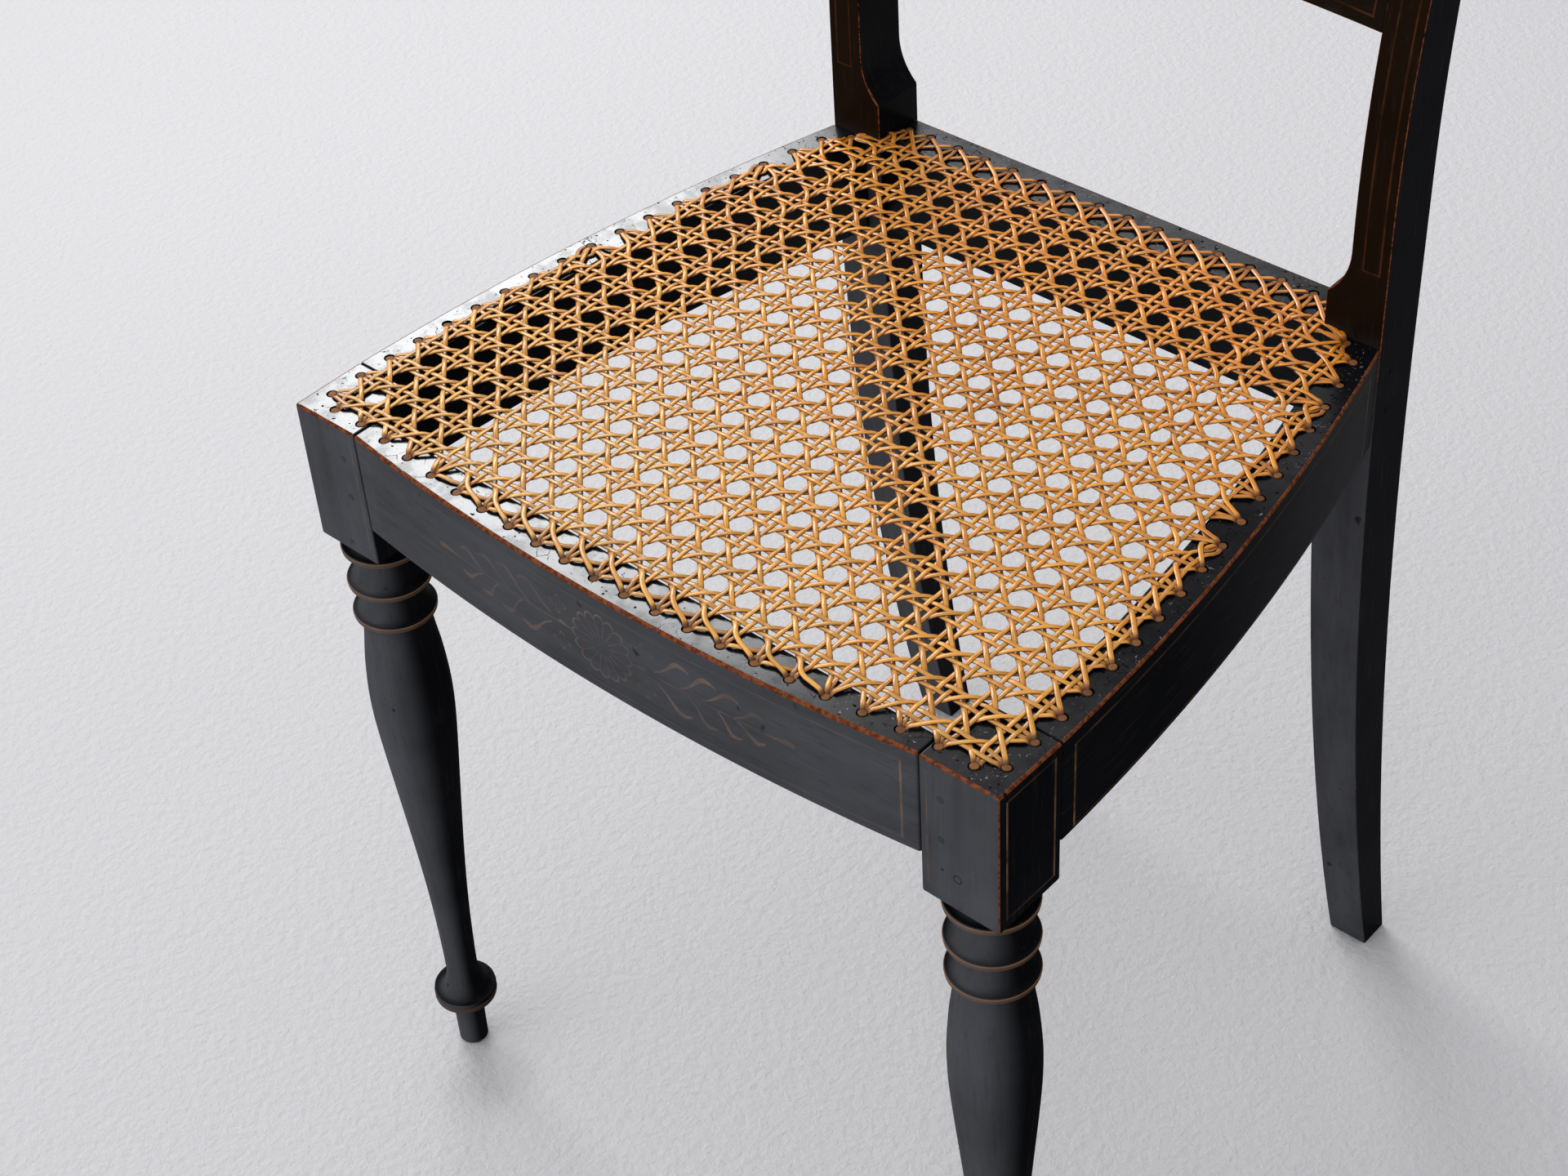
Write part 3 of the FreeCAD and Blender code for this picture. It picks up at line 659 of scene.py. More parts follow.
def swept_back(y, sweep, z):
    """Y of a sabre curve that leaves the seat plumb at y and is swept back at the floor."""
    radius = (seat_height ** 2 + sweep ** 2) / (2 * sweep)
    return y + radius - math.sqrt(radius ** 2 - (seat_height - z) ** 2)


def on_bend(turn, offset):
    """A point on the stile's bend, offset square to its front."""
    y = post_front + stile_bend * (1 - math.cos(turn)) + offset * math.cos(turn)
    z = seat_height + stile_straight + stile_bend * math.sin(turn) - offset * math.sin(turn)
    return y, z


def depth_on_bend(turn):
    """The stile's depth, which tapers slowly at first round the bend."""
    return post_depth + (bend_end_depth - post_depth) * (turn / stile_rake) ** 1.5


def inner_x(z):
    """The post's inner side, seen from the front."""
    cove_top = seat_height + shoulder_rise + cove_rise
    cove_in = post_width - stile_width
    radius = (cove_in ** 2 + cove_rise ** 2) / (2 * cove_in)
    if z >= cove_top:
        return stile_inner
    if z > seat_height + shoulder_rise:
        return stile_inner - radius + math.sqrt(radius ** 2 - (cove_top - z) ** 2)
    return post_inner + (half_rear - foot_width - post_inner) * max(0.0, 1 - z / rail_bottom)


def post_stations():
    """Pairs of front and back points up the post, each as (y, z)."""
    made = []
    back_sweep = leg_sweep - post_depth + foot_depth
    heights = [seat_height * step / leg_steps for step in range(leg_steps - 1)]
    shoulder = seat_height + shoulder_rise
    heights += [rail_bottom, seat_height - 0.02, shoulder]
    heights += [shoulder + cove_rise * step / cove_steps for step in range(1, cove_steps + 1)]
    for z in sorted(set(heights + [seat_height + stile_straight])):
        below = min(z, seat_height)
        made.append(((swept_back(post_front, leg_sweep, below), z),
                     (swept_back(post_back, back_sweep, below), z)))
    for step in range(1, bend_steps + 1):
        turn = stile_rake * step / bend_steps
        made.append((on_bend(turn, 0), on_bend(turn, depth_on_bend(turn))))
    end_y, end_z = on_bend(stile_rake, 0)
    rise = seat_height + stile_rise - end_z
    for step in range(1, stile_steps + 1):
        z = end_z + rise * step / stile_steps
        y = end_y + (z - end_z) * math.tan(stile_rake)
        depth = bend_end_depth + (stile_top_depth - bend_end_depth) * step / stile_steps
        made.append(((y, z), (y + depth * math.cos(stile_rake), z - depth * math.sin(stile_rake))))
    return made


post_rubs = (((-1, -1, 0), 0.74, 0.95), ((1, -1, 0), 0.88, 0.95), ((-1, -1, 1), 0.80, 0.9),
             ((1, 1, 0), 0.60, 0.95), ((-1, 1, 0), 0.45, 0.95))
stile_bronze = (0.115, 0.038, 0.014, 1.0)
brown_varnish = (0.0135, 0.0062, 0.0022, 1.0)
# the legs' fronts: a painted sheen, partly the paint's bloom
leg_bloom_and_sheen = (0.070, 0.072, 0.080, 1.0)


def browner_above(where):
    """Colour of the posts' fronts: a blue-grey painted sheen on the legs, partly the paint's bloom, and a
    brown varnish above the seat.
    """
    return blend(ramp(parts_of(where)["Z"], seat_height - 0.03, seat_height + 0.01), leg_bloom_and_sheen, brown_varnish)


rear_post_paint = painted("rear_post_paint", front_sheen_tint=1.0, sheen=0.03, side_sheen=0.07, front_sheen_tint_map=browner_above,
                          gilding_tint=stile_bronze,
                          panels=(("Y", -1, (0.16635, 0.70), (0.00465, 0.171), 0.0010, 0.7, 0.8),))
for side, name in ((1, "rear_post_right"), (-1, "rear_post_left")):
    bm = bmesh.new()
    ring = None
    for (front_y, front_z), (back_y, back_z) in post_stations():
        corners = ((inner_x(front_z), front_y, front_z), (half_rear, front_y, front_z),
                   (half_rear, back_y, back_z), (inner_x(back_z), back_y, back_z))
        if ring is None:
            ring = [bm.verts.new(c) for c in corners]
            bm.faces.new(ring)
            continue
        edges = [bm.edges.get(pair) for pair in zip(ring, ring[1:] + ring[:1])]
        grown = bmesh.ops.extrude_edge_only(bm, edges=edges)["geom"]
        fresh = [g for g in grown if isinstance(g, bmesh.types.BMVert)]
        ring = [next(v for v in fresh if any(e.other_vert(v) is old for e in v.link_edges)) for old in ring]
        for v, c in zip(ring, corners):
            v.co = c
    bm.faces.new(ring)
    bmesh.ops.recalc_face_normals(bm, faces=bm.faces)
    round_arrises(bm, post_arris, post_rubs)
    arris = bm.faces.layers.float["arris"]
    for face in bm.faces:
        if face.calc_center_median().z < seat_height:
            face[arris] *= leg_wear_share
    bmesh.ops.scale(bm, verts=bm.verts, vec=(side, 1, 1))
    piece(name, bm, rear_post_paint)


# Seat rails. Four painted boards, flush with the blocks' tops and tenoned between the legs: the
# front one is bowed on its face, the sides bulge a little in plan, and the rear one is straight.
front_rail_end = 0.0145
side_rail_thickness = 0.023
rear_rail_thickness = 0.0266
rail_arris = 0.0012
front_rail_arris = 0.0016
front_rail_rubs = (((0, -1, 1), 0.90, 0.8), ((0, -1, -1), 0.52, 0.8))
side_rail_rubs = (((1, 0, 1), 0.93, 0.8), ((1, 0, -1), 0.35, 0.8))
rear_rail_rubs = (((0, 1, 1), 0.80, 0.8), ((0, -1, 1), 0.45, 0.8))
bent_lengths = 32
grain_across, grain_back = (0.05, 1.0, 1.0), (1.0, 0.05, 1.0)


def cut_across(bm, axis, low, high, count):
    """Cuts a board into equal lengths, so that it can be bent."""
    way = Vector([float(k == axis) for k in range(3)])
    for step in range(1, count):
        bmesh.ops.bisect_plane(bm, geom=bm.verts[:] + bm.edges[:] + bm.faces[:], dist=1e-7,
                               plane_co=way * (low + (high - low) * step / count), plane_no=way)


def stencilled_leaf():
    """Mask of one curled leaf from its root on the stem to its tip."""
    tree, given, result = effect("stencilled_leaf", dict.fromkeys(
        ("Across", "Up", "Root Across", "Root Up", "Tip Across", "Tip Up", "Curl", "Width"), 0.0),
        {"Mask": "Float"})
    run, rise = given["Tip Across"] - given["Root Across"], given["Tip Up"] - given["Root Up"]
    span = calc("SQRT", run * run + rise * rise)
    across, up = given["Across"] - given["Root Across"], given["Up"] - given["Root Up"]
    along = (across * run + up * rise) / (span * span)
    aside = (up * run - across * rise) / span
    late = calc("POWER", larger(along, 0.0), 2.2)
    bow = calc("SINE", late * math.pi) * given["Curl"]
    fat = calc("SINE", calc("MINIMUM", late, 1.0) * 2.6) * given["Width"]
    body = fade(abs(aside - bow) - fat, 0.0002, 0.0007)
    end_at(result["Mask"], body * (calc("GREATER_THAN", along, 0.0) * calc("LESS_THAN", along, 1.0)))
    return tree


stencil_bronze = (0.40, 0.255, 0.160, 1.0)
rose_height = seat_height - 0.0303
rose_radius = 0.0188
rose_petals = 16
petal_depth = 0.0045
flower_place = (0.0272, 0.0112)
flower_radius = 0.0052
stem_end = 0.112
leaf_group = stencilled_leaf()
# root, tip, curl and width of each leaf
leaf_places = [((0.033, 0.003), (0.0545, 0.0130), 0.0045, 0.0009),
               ((0.048, 0.001), (0.0700, 0.0125), 0.0045, 0.0010),
               ((0.061, 0.001), (0.0830, 0.0105), 0.0040, 0.0008),
               ((0.080, 0.001), (0.0965, 0.0070), 0.0032, 0.0009),
               ((0.033, -0.003), (0.0545, -0.0135), -0.0045, 0.0010),
               ((0.053, -0.001), (0.0690, -0.0128), -0.0040, 0.0008),
               ((0.070, -0.001), (0.0830, -0.0110), -0.0035, 0.0008),
               ((0.081, -0.001), (0.0965, -0.0068), -0.0030, 0.0009),
               ((0.020, 0.0), (0.0280, 0.0005), 0.0004, 0.0008),
               ((0.096, 0.0), (0.1130, 0.0005), 0.0006, 0.0011)]


def petalled_rose(where, facing):
    """The faint bronze stencil: a rose of sixteen outlined petals, with sprays of leaves to each side."""
    at = parts_of(where)
    out, up = abs(at["X"]), at["Z"] - rose_height
    high = abs(up)

    # the rose's outline and veins, and the stem
    reach = distance_to(at["X"], up, 0.0, 0.0)
    lobe = abs(calc("COSINE", calc("ARCTAN2", up, at["X"]) * (rose_petals / 2)))
    edge = calc("POWER", lobe, 0.45) * petal_depth + (rose_radius - petal_depth)
    vein = fade(lobe * reach, 0.0005, 0.0016)
    inside = ramp(reach, 0.0045, 0.0060) * fade(reach, rose_radius - 0.006, rose_radius - 0.004)
    mask = larger(fade(abs(reach - edge), 0.0003, 0.0009), vein * inside)
    length = calc("GREATER_THAN", out, rose_radius) * calc("LESS_THAN", out, stem_end)
    mask = larger(mask, fade(high, 0.0002, 0.0006) * length * 0.7)

    # leaves, and a small flower above and below the stem
    for root, tip, curl, width in leaf_places:
        leaf = use(leaf_group, {"Across": out, "Up": up, "Root Across": root[0], "Root Up": root[1],
                                "Tip Across": tip[0], "Tip Up": tip[1], "Curl": curl, "Width": width})
        mask = larger(mask, leaf["Mask"])
    side_out, side_up = flower_place
    spread = abs(calc("COSINE", calc("ARCTAN2", high - side_up, out - side_out) * 2.0))
    lip = abs(distance_to(out, high, side_out, side_up) - spread * flower_radius)
    mask = larger(mask, fade(lip, 0.0003, 0.0010) * 0.6)

    # rubbed away in patches, and more so on the sitter's right
    rubbed = ramp(speckle(where, 42.0, 7.0, 0.6), 0.34, 0.66)
    kept = lifted(rubbed, 0.40, 0.12) * lifted(ramp(at["X"], -0.09, 0.09), 0.45, 0.60)
    return mask * kept * calc("LESS_THAN", facing["Y"], -0.7)


front_rail_paint = painted("front_rail_paint", grain=grain_across, front_sheen_tint=0.82, gilding=petalled_rose,
                           gilding_tint=stencil_bronze, level_share=0.3, panels=(
    ("Y", -1, (0.0, seat_height - 0.0315), (0.168, 0.0230), 0.0012, 0.05, 0.5),))
bm = bmesh.new()
block_between(bm, (-block_inner, seat_front, rail_bottom),
              (block_inner, seat_front + front_rail_end, seat_height))
cut_across(bm, 0, -block_inner, block_inner, bent_lengths)
for v in bm.verts:
    if v.co.y < seat_front + front_rail_end / 2:
        v.co.y = front_edge(v.co.x)
round_arrises(bm, front_rail_arris, front_rail_rubs, 4)
piece("front_rail", bm, front_rail_paint,
      on_both_sides([(x, y) for x, y in front_holes if x < block_inner]))


def duller_in_front(where):
    """Sheen of the side rails: rubbed dull near the front legs, and a little brighter to the rear."""
    return lifted(ramp(parts_of(where)["Y"], -0.10, 0.13), 0.13, 0.02)


side_rail_paint = painted("side_rail_paint", grain=grain_back, side_map=duller_in_front,
                          gilding_tint=line_bronze, level_share=0.3, panels=(
    ("X", 1, (-0.016, seat_height - 0.0330), (0.1457, 0.0245), 0.0013, 0.9, 0.4),))
for side, name in ((1, "side_rail_right"), (-1, "side_rail_left")):
    bm = bmesh.new()
    block_between(bm, (0.0, block_back, rail_bottom), (1.0, post_front, seat_height))
    cut_across(bm, 1, block_back, post_front, bent_lengths)
    for v in bm.verts:
        v.co.x = side_x(v.co.y, 0.0 if v.co.x > 0.5 else side_rail_thickness)
    round_arrises(bm, rail_arris, side_rail_rubs)
    bmesh.ops.scale(bm, verts=bm.verts, vec=(side, 1, 1))
    holes = [(side * x, y) for x, y in side_holes.values() if y > block_back]
    piece(name, bm, side_rail_paint, holes)

rear_rail_paint = painted("rear_rail_paint", grain=grain_across)
bm = bmesh.new()
block_between(bm, (-post_inner, rear_rail_back - rear_rail_thickness, rail_bottom),
              (post_inner, rear_rail_back, seat_height))
round_arrises(bm, rail_arris, rear_rail_rubs)
piece("rear_rail", bm, rear_rail_paint, on_both_sides(rear_holes))


# Stay rail and crest. Two boards hollowed to the sitter's back, both leaning with the stiles: the
# narrow stay is tenoned between them, and the wide crest sits on their tops.
stay_rise = 0.185
stay_height = 0.045
stay_thickness = 0.015
stay_bow = 0.012
stay_setback = 0.0015
stay_lengths = 24
stay_turn = math.asin((stay_rise - stile_straight) / stile_bend)
stay_y, stay_z = on_bend(stay_turn, 0)
crest_half_length = 0.205
crest_height = 0.092
crest_thickness = 0.018
crest_bow = 0.020
crest_setback = 0.003
crest_corner = 0.016
crest_radius = (crest_half_length ** 2 + crest_bow ** 2) / (2 * crest_bow)
top_y, top_z = post_stations()[-1][0]
stile_middle = (stile_inner + half_rear) / 2
board_arris = 0.0012
board_rubs = (((0, -1, 1), 0.80, 0.95), ((0, -1, -1), 0.80, 0.95), ((0, 1, 1), 0.55, 0.8))


def hollowed(bm, half_length, end_y, bow):
    """Bends a straight board back in its middle, on a circle."""
    radius = (half_length ** 2 + bow ** 2) / (2 * bow)
    for v in bm.verts:
        v.co.y += end_y + bow - radius + math.sqrt(radius ** 2 - v.co.x ** 2)


def leaned(bm, y, z, turn):
    bmesh.ops.rotate(bm, verts=bm.verts, cent=(0, 0, 0), matrix=Matrix.Rotation(-turn, 3, "X"))
    bmesh.ops.translate(bm, verts=bm.verts, vec=(0, y, z))


def uneven_brown(where):
    """Colour of the back boards: the brown varnish of the stiles, a little uneven."""
    return blend(speckle(where, 9.0, 3.0, 0.5), brown_varnish, (0.0105, 0.0068, 0.0040))


def board_paint(name, middle, half, width, strength):
    """Paint of a back board, with one line round its front."""
    panel = ("Y", -1, (0.0, middle), half, width, strength, strength)
    return painted(name, grain=grain_across, front_sheen_tint=1.0, sheen=0.03, front_sheen_tint_map=uneven_brown,
                   gilding_tint=stile_bronze, panels=(panel,))


stay_paint = board_paint("back_rail_paint", stay_z - 0.0006, (0.1478, 0.0160), 0.0011, 0.75)
bm = bmesh.new()
block_between(bm, (-stile_inner, 0.0, -stay_height / 2), (stile_inner, stay_thickness, stay_height / 2))
cut_across(bm, 0, -stile_inner, stile_inner, stay_lengths)
hollowed(bm, stile_inner, stay_setback, stay_bow)
round_arrises(bm, board_arris, board_rubs)
leaned(bm, stay_y, stay_z, stay_turn)
piece("stay_rail", bm, stay_paint)

crest_paint = board_paint("crest_paint", top_z + crest_height / 2 - 0.002,
                          (crest_half_length - 0.013, crest_height / 2 - 0.012), 0.0012, 0.7)
crest_end = crest_setback - (math.sqrt(crest_radius ** 2 - stile_middle ** 2)
                             - math.sqrt(crest_radius ** 2 - crest_half_length ** 2))
bm = bmesh.new()
block_between(bm, (-crest_half_length, 0.0, 0.0), (crest_half_length, crest_thickness, crest_height))
corners = [e for e in bm.edges if all(v.co.z > crest_height / 2 for v in e.verts)
           and abs(e.verts[0].co.x - e.verts[1].co.x) < 0.001]
rounded(bm, corners, crest_corner, 10)
cut_across(bm, 0, -crest_half_length, crest_half_length, bent_lengths)
hollowed(bm, crest_half_length, crest_end, crest_bow)
round_arrises(bm, board_arris, board_rubs)
leaned(bm, top_y, top_z, stile_rake)
piece("crest_rail", bm, crest_paint)


# Draw pins. Round wooden pins driven through the tenons and painted over with the chair, so that
# only their slightly raised ends show.
pin_paint = painted("pin_paint", front_sheen_tint=0.6)
pin_length = 0.019
pin_radius = 0.002
small_pin_radius = 0.0015
pin_inset = 0.0115
rear_pin_inset = 0.007
pin_heights = (seat_height - 0.020, seat_height - 0.044)
pin_proud = 0.00015
pin_chamfer = 0.00025
stay_pin_inset = 0.0065
stay_pin_end = 0.005
crest_pin_rise = 0.012
crest_pin_length = 0.0135


def drive_pins(name, starts, way, radius=small_pin_radius, length=pin_length):
    """Pins that start just proud of a face and run inwards along way, on both sides of the chair."""
    bm = bmesh.new()
    for start in starts:
        for side in (1, -1):
            inward = Vector((way[0] * side, way[1], way[2])).normalized()
            middle = Vector((start[0] * side, start[1], start[2])) + inward * (length / 2 - pin_proud)
            turned = inward.to_track_quat("Z", "Y").to_matrix().to_4x4()
            made = bmesh.ops.create_cone(bm, cap_ends=True, segments=20, radius1=radius, radius2=radius,
                                         depth=length, matrix=Matrix.Translation(middle) @ turned)["verts"]
            rims = [e for e in bm.edges if e.verts[0] in made and max(len(f.verts) for f in e.link_faces) > 4]
            rounded(bm, rims, pin_chamfer, 2)
    piece(name, bm, pin_paint)


def at_pin_heights(x, y):
    return [(x, y, z) for z in pin_heights]


drive_pins("front_rail_pins", at_pin_heights(block_inner + pin_inset, seat_front), (0, 1, 0), pin_radius)
drive_pins("side_rail_front_pins", at_pin_heights(half_front, block_back - pin_inset), (-1, 0, 0))
drive_pins("side_rail_rear_pins", at_pin_heights(half_rear, post_front + pin_inset), (-1, 0, 0))
drive_pins("rear_rail_pins", at_pin_heights(post_inner + rear_pin_inset, post_back), (0, -1, 0))
stay_depth = depth_on_bend(stay_turn)
drive_pins("stay_rail_pins", [(stile_inner + stay_pin_inset, *on_bend(stay_turn, stay_depth))],
           (0, -math.cos(stay_turn), math.sin(stay_turn)), length=stay_depth - stay_pin_end)
crest_back = crest_setback + crest_thickness
pin_y = top_y + crest_back * math.cos(stile_rake) + crest_pin_rise * math.sin(stile_rake)
pin_z = top_z - crest_back * math.sin(stile_rake) + crest_pin_rise * math.cos(stile_rake)
drive_pins("crest_pins", [(stile_middle, pin_y, pin_z)], (0, -math.cos(stile_rake), math.sin(stile_rake)),
           length=crest_pin_length)


# Cane seat. Strips of rattan bark woven by hand in seven steps without a binder: two strands
# from front to rear and two across in every space, then one diagonal each way. Each end turns
# down into a drilled hole.
strand_width = 0.00265
strand_thickness = 0.00085
strand_outline = ((1.0, -0.15), (0.80, 0.62), (0.0, 1.0), (-0.80, 0.62), (-1.0, -0.15), (-0.72, -0.85),
                  (0.0, -1.0), (0.72, -0.85))
strand_detail = 3
layer = 0.00064
pair_offset = 0.0026
weave_level = seat_height + 0.00135
spread_rate = 0.19
hole_spread = 0.0006
hole_side = 0.0009
hand_wander = 0.00012
width_wander = 0.04
rows = range(-9, 10)
columns = range(-len(front_holes), len(front_holes))
slant_lines = range(-22, 23)
column_stop = 0.38 * cane_pitch
row_stop = 0.34 * cane_pitch
slant_stop = 0.2 * cane_pitch
slant_clear = 0.0125
slant_half = 0.0031
slant_lift = 0.0007
far_reach = 1.15 * cane_pitch
pair_clear = 0.0085
pair_half = 0.0032
rise_run = 0.013
edge_drop = 0.0004
turn_in = 0.02 * cane_pitch
turn_run = 1.4 * cane_pitch
kept_in = 0.41 * cane_pitch
bend_from = 0.8
even_spaces = 8.5
rear_reach, rear_beat = 8.45, 0.83
front_reach, front_beat = 8.44, 0.92
# a strand's end: how far out of its hole, how high, its share of the lift, and how far the pair has spread
hole_lip = ((0.0013, -0.0048, 0.0, 0.8), (0.0020, -0.0012, 0.0, 0.9), (0.0034, 0.0005, 0.6, 1.25),
            (0.0064, 0.0007, 1.0, 1.8))


def plan_y(step):
    """Y of a place counted in pitches from the plan's middle; the last spaces are beaten closer."""
    if step > even_spaces:
        step = rear_reach + (step - even_spaces) * rear_beat
    elif step < -even_spaces:
        step = -front_reach + (step + even_spaces) * front_beat
    else:
        step *= rear_reach / even_spaces
    return step * cane_pitch - plan_shift


def column_ends(column):
    """Front and far hole of a pair of strands; column -1 mirrors column 0."""
    side, index = (1, column) if column >= 0 else (-1, -column - 1)
    near = front_holes[index]
    if index < len(rear_holes):
        far = rear_holes[index]
    elif index == len(rear_holes):
        far = side_holes[rows[-1]]
    else:
        far = min(side_holes.values(), key=lambda hole: abs(hole[0] - near[0] + turn_in))
    return (side * near[0], near[1]), (side * far[0], far[1])


ends_of = {column: column_ends(column) for column in columns}


def column_x(column, y):
    """X of a pair from front to rear. A short pair keeps inside the side's holes, then turns to its own."""
    (x0, y0), (x1, y1) = ends_of[column]
    if max(column, -column - 1) < len(rear_holes):
        return x0 + (x1 - x0) * (y - y0) / (y1 - y0)
    kept = math.copysign(min(abs(x0), side_x(y, hole_inset) - kept_in), x0)
    late = min(1.0, max(0.0, (y - y1) / turn_run + 1))
    return kept + (x1 - kept) * late * late


def has_column(column, y):
    return column in ends_of and ends_of[column][0][1] + column_stop < y < ends_of[column][1][1] - column_stop


def row_y(row, x):
    """Y of a pair across the seat, which bends only near its holes. Row 0 is just behind the middle."""
    end_x, end_y = side_holes[row]
    middle = plan_y(row + 0.5)
    late = min(1.0, max(0.0, (abs(x) / end_x - bend_from) / 0.2))
    return middle + (end_y - middle) * late * late


def has_row(row, x):
    return row in rows and abs(x) < side_holes[row][0] - row_stop


def into_hole(hole, toward, lift, aside=0.0):
    """The last four points of a strand, from its hole up over the lip and away."""
    way = Vector((toward[0] - hole[0], toward[1] - hole[1])).normalized()
    over = Vector((-way.y, way.x)) * aside
    return [(hole[0] + way.x * out + over.x * spread, hole[1] + way.y * out + over.y * spread,
             seat_height + rise + lift * share) for out, rise, share, spread in hole_lip]


def pair_strand(start, end, events, side, lift):
    """One strand of a pair: out of a hole, over and under what it crosses, and into the other."""
    length = math.dist(start, end)
    way = Vector((end[0] - start[0], end[1] - start[1])) / length
    across = Vector((way.y, -way.x)) * side
    points = into_hole(start, end, lift, -side * hole_side)
    for far, rise, bend, swing in events:
        if pair_clear < far < length - pair_clear:
            near = min(1.0, min(far, length - far) / rise_run)
            off = min(pair_offset, hole_spread + spread_rate * min(far, length - far))
            points.append((start[0] + way.x * far + across.x * off + swing,
                           start[1] + way.y * far + across.y * off + bend,
                           weave_level + rise * near - (1 - near) * edge_drop))
    return points + into_hole(end, start, lift, side * hole_side)[::-1]


def front_to_rear(column, side):
    """One strand of a column; side 1 is the right-hand one."""
    start, end = ends_of[column]
    heights = []
    for row in rows:
        x = column_x(column, plan_y(row + 0.5))
        if has_row(row, x) and start[1] < row_y(row, x) < end[1]:
            y = row_y(row, x)
            heights += [(y - pair_offset, side * 0.5 * layer), (y + pair_offset, -side * 0.5 * layer)]
    for step in range(rows[0], rows[-1] + 2):
        heights += [(plan_y(step) - pair_half, 0.0), (plan_y(step) + pair_half, 0.0)]
    slope = (end[0] - start[0]) / (end[1] - start[1])
    events = [(y - start[1], rise, 0.0, column_x(column, y) - start[0] - slope * (y - start[1]))
              for y, rise in sorted(heights)]
    return pair_strand(start, end, events, side, 0.0)


def side_to_side(row, side):
    """One strand of a row; side 1 is the one nearer the rear."""
    x_end, y_end = side_holes[row]
    events = []
    for column in columns:
        y = row_y(row, column_x(column, plan_y(row + 0.5)))
        if has_column(column, y):
            x = column_x(column, y)
            bend = row_y(row, x) - y_end
            events += [(x - pair_offset + x_end, -side * 0.5 * layer, bend, 0.0),
                       (x + pair_offset + x_end, side * 0.5 * layer, bend, 0.0)]
    for step in range(-10, 11):
        x = step * cane_pitch
        if has_row(row, x):
            bend = row_y(row, x) - y_end
            events += [(x - pair_half + x_end, 0.0, bend, 0.0), (x + pair_half + x_end, 0.0, bend, 0.0)]
    return pair_strand((-x_end, y_end), (x_end, y_end), sorted(events), -side, 0.0003)


def slant_past(x, y, rise):
    """The two points of a falling diagonal on either side of what it crosses."""
    return [(x + far, y - far, weave_level + rise) for far in (-slant_half, slant_half)]


def under_row(line, column):
    """Where a falling diagonal dips under the pair across, just left of a column."""
    x = column * cane_pitch
    y = row_y(line - column, x)
    if column in ends_of and column - 1 in ends_of:
        x = (column_x(column, y) + column_x(column - 1, y)) / 2
    return slant_past(x, y, -layer)


def crosses(line, column):
    """Whether a falling diagonal passes over a column well inside the holes."""
    y = plan_y(line - column)
    return has_column(column, y) and abs(column_x(column, y)) < side_x(y, hole_inset) - slant_stop


def left_end(line, first, x):
    """A diagonal's first dip, and its hole: the next one on the rear, or on the left-hand side."""
    row, before = line - first, first - 1
    if row not in rows:
        return [], ends_of.get(before, ends_of[columns[0]])[1]
    dip = under_row(line, first) if has_row(row, first * cane_pitch) else []
    at_rear = before in ends_of and ends_of[before][1][1] >= rear_holes[0][1] - 0.001
    if at_rear and plan_y(row + 1) > ends_of[before][1][1] - column_stop:
        return dip, ends_of[before][1]
    if dip and x + side_holes[row][0] > far_reach and row < rows[-1]:
        row += 1
    else:
        dip = []
    return dip, (-side_holes[row][0], side_holes[row][1])


def right_end(line, last, x):
    """A diagonal's last dip, and its hole: the next one on the front, or on the right-hand side."""
    row, after = line - last - 1, last + 1
    if row not in rows:
        return [], ends_of.get(after, ends_of[columns[-1]])[0]
    at_front = after in ends_of and plan_y(row) < ends_of[after][0][1] + column_stop
    if at_front and has_row(row, after * cane_pitch):
        return under_row(line, after), ends_of[after][0]
    if side_holes[row][0] - x > far_reach and row > rows[0]:
        return under_row(line, after), side_holes[row - 1]
    return [], side_holes[row]


def slanting(line):
    """A diagonal that falls to the right, over the pairs from front to rear and under those across."""
    crossed = [column for column in columns if crosses(line, column)]
    if not crossed:
        return None
    points = []
    for column in crossed:
        if column != crossed[0]:
            points += under_row(line, column)
        y = plan_y(line - column)
        points += slant_past(column_x(column, y), y, layer)
    head, start = left_end(line, crossed[0], points[0][0])
    tail, end = right_end(line, crossed[-1], points[-1][0])
    run = [p for p in head + points + tail
           if min(math.dist(p[:2], start), math.dist(p[:2], end)) > slant_clear]
    if not run:
        return None
    return into_hole(start, run[0], slant_lift) + run + into_hole(end, run[-1], slant_lift)[::-1]


def mirrored_strand(points):
    """The other diagonal: mirrored, and over where the first goes under."""
    made = []
    for x, y, z in points:
        crossing = abs(abs(z - weave_level) - layer) < 1e-6
        made.append((-x, y, 2 * weave_level - z if crossing else z))
    return made


strand_curve = bpy.data.curves.new("strand_section", "CURVE")
strand_curve.dimensions = "2D"
outline = strand_curve.splines.new("POLY")
outline.points.add(len(strand_outline) - 1)
for point, (across, up) in zip(outline.points, strand_outline):
    point.co = (across * strand_width / 2, up * strand_thickness / 2, 0.0, 1.0)
outline.use_cyclic_u = True
strand_section = added("strand_section", strand_curve)


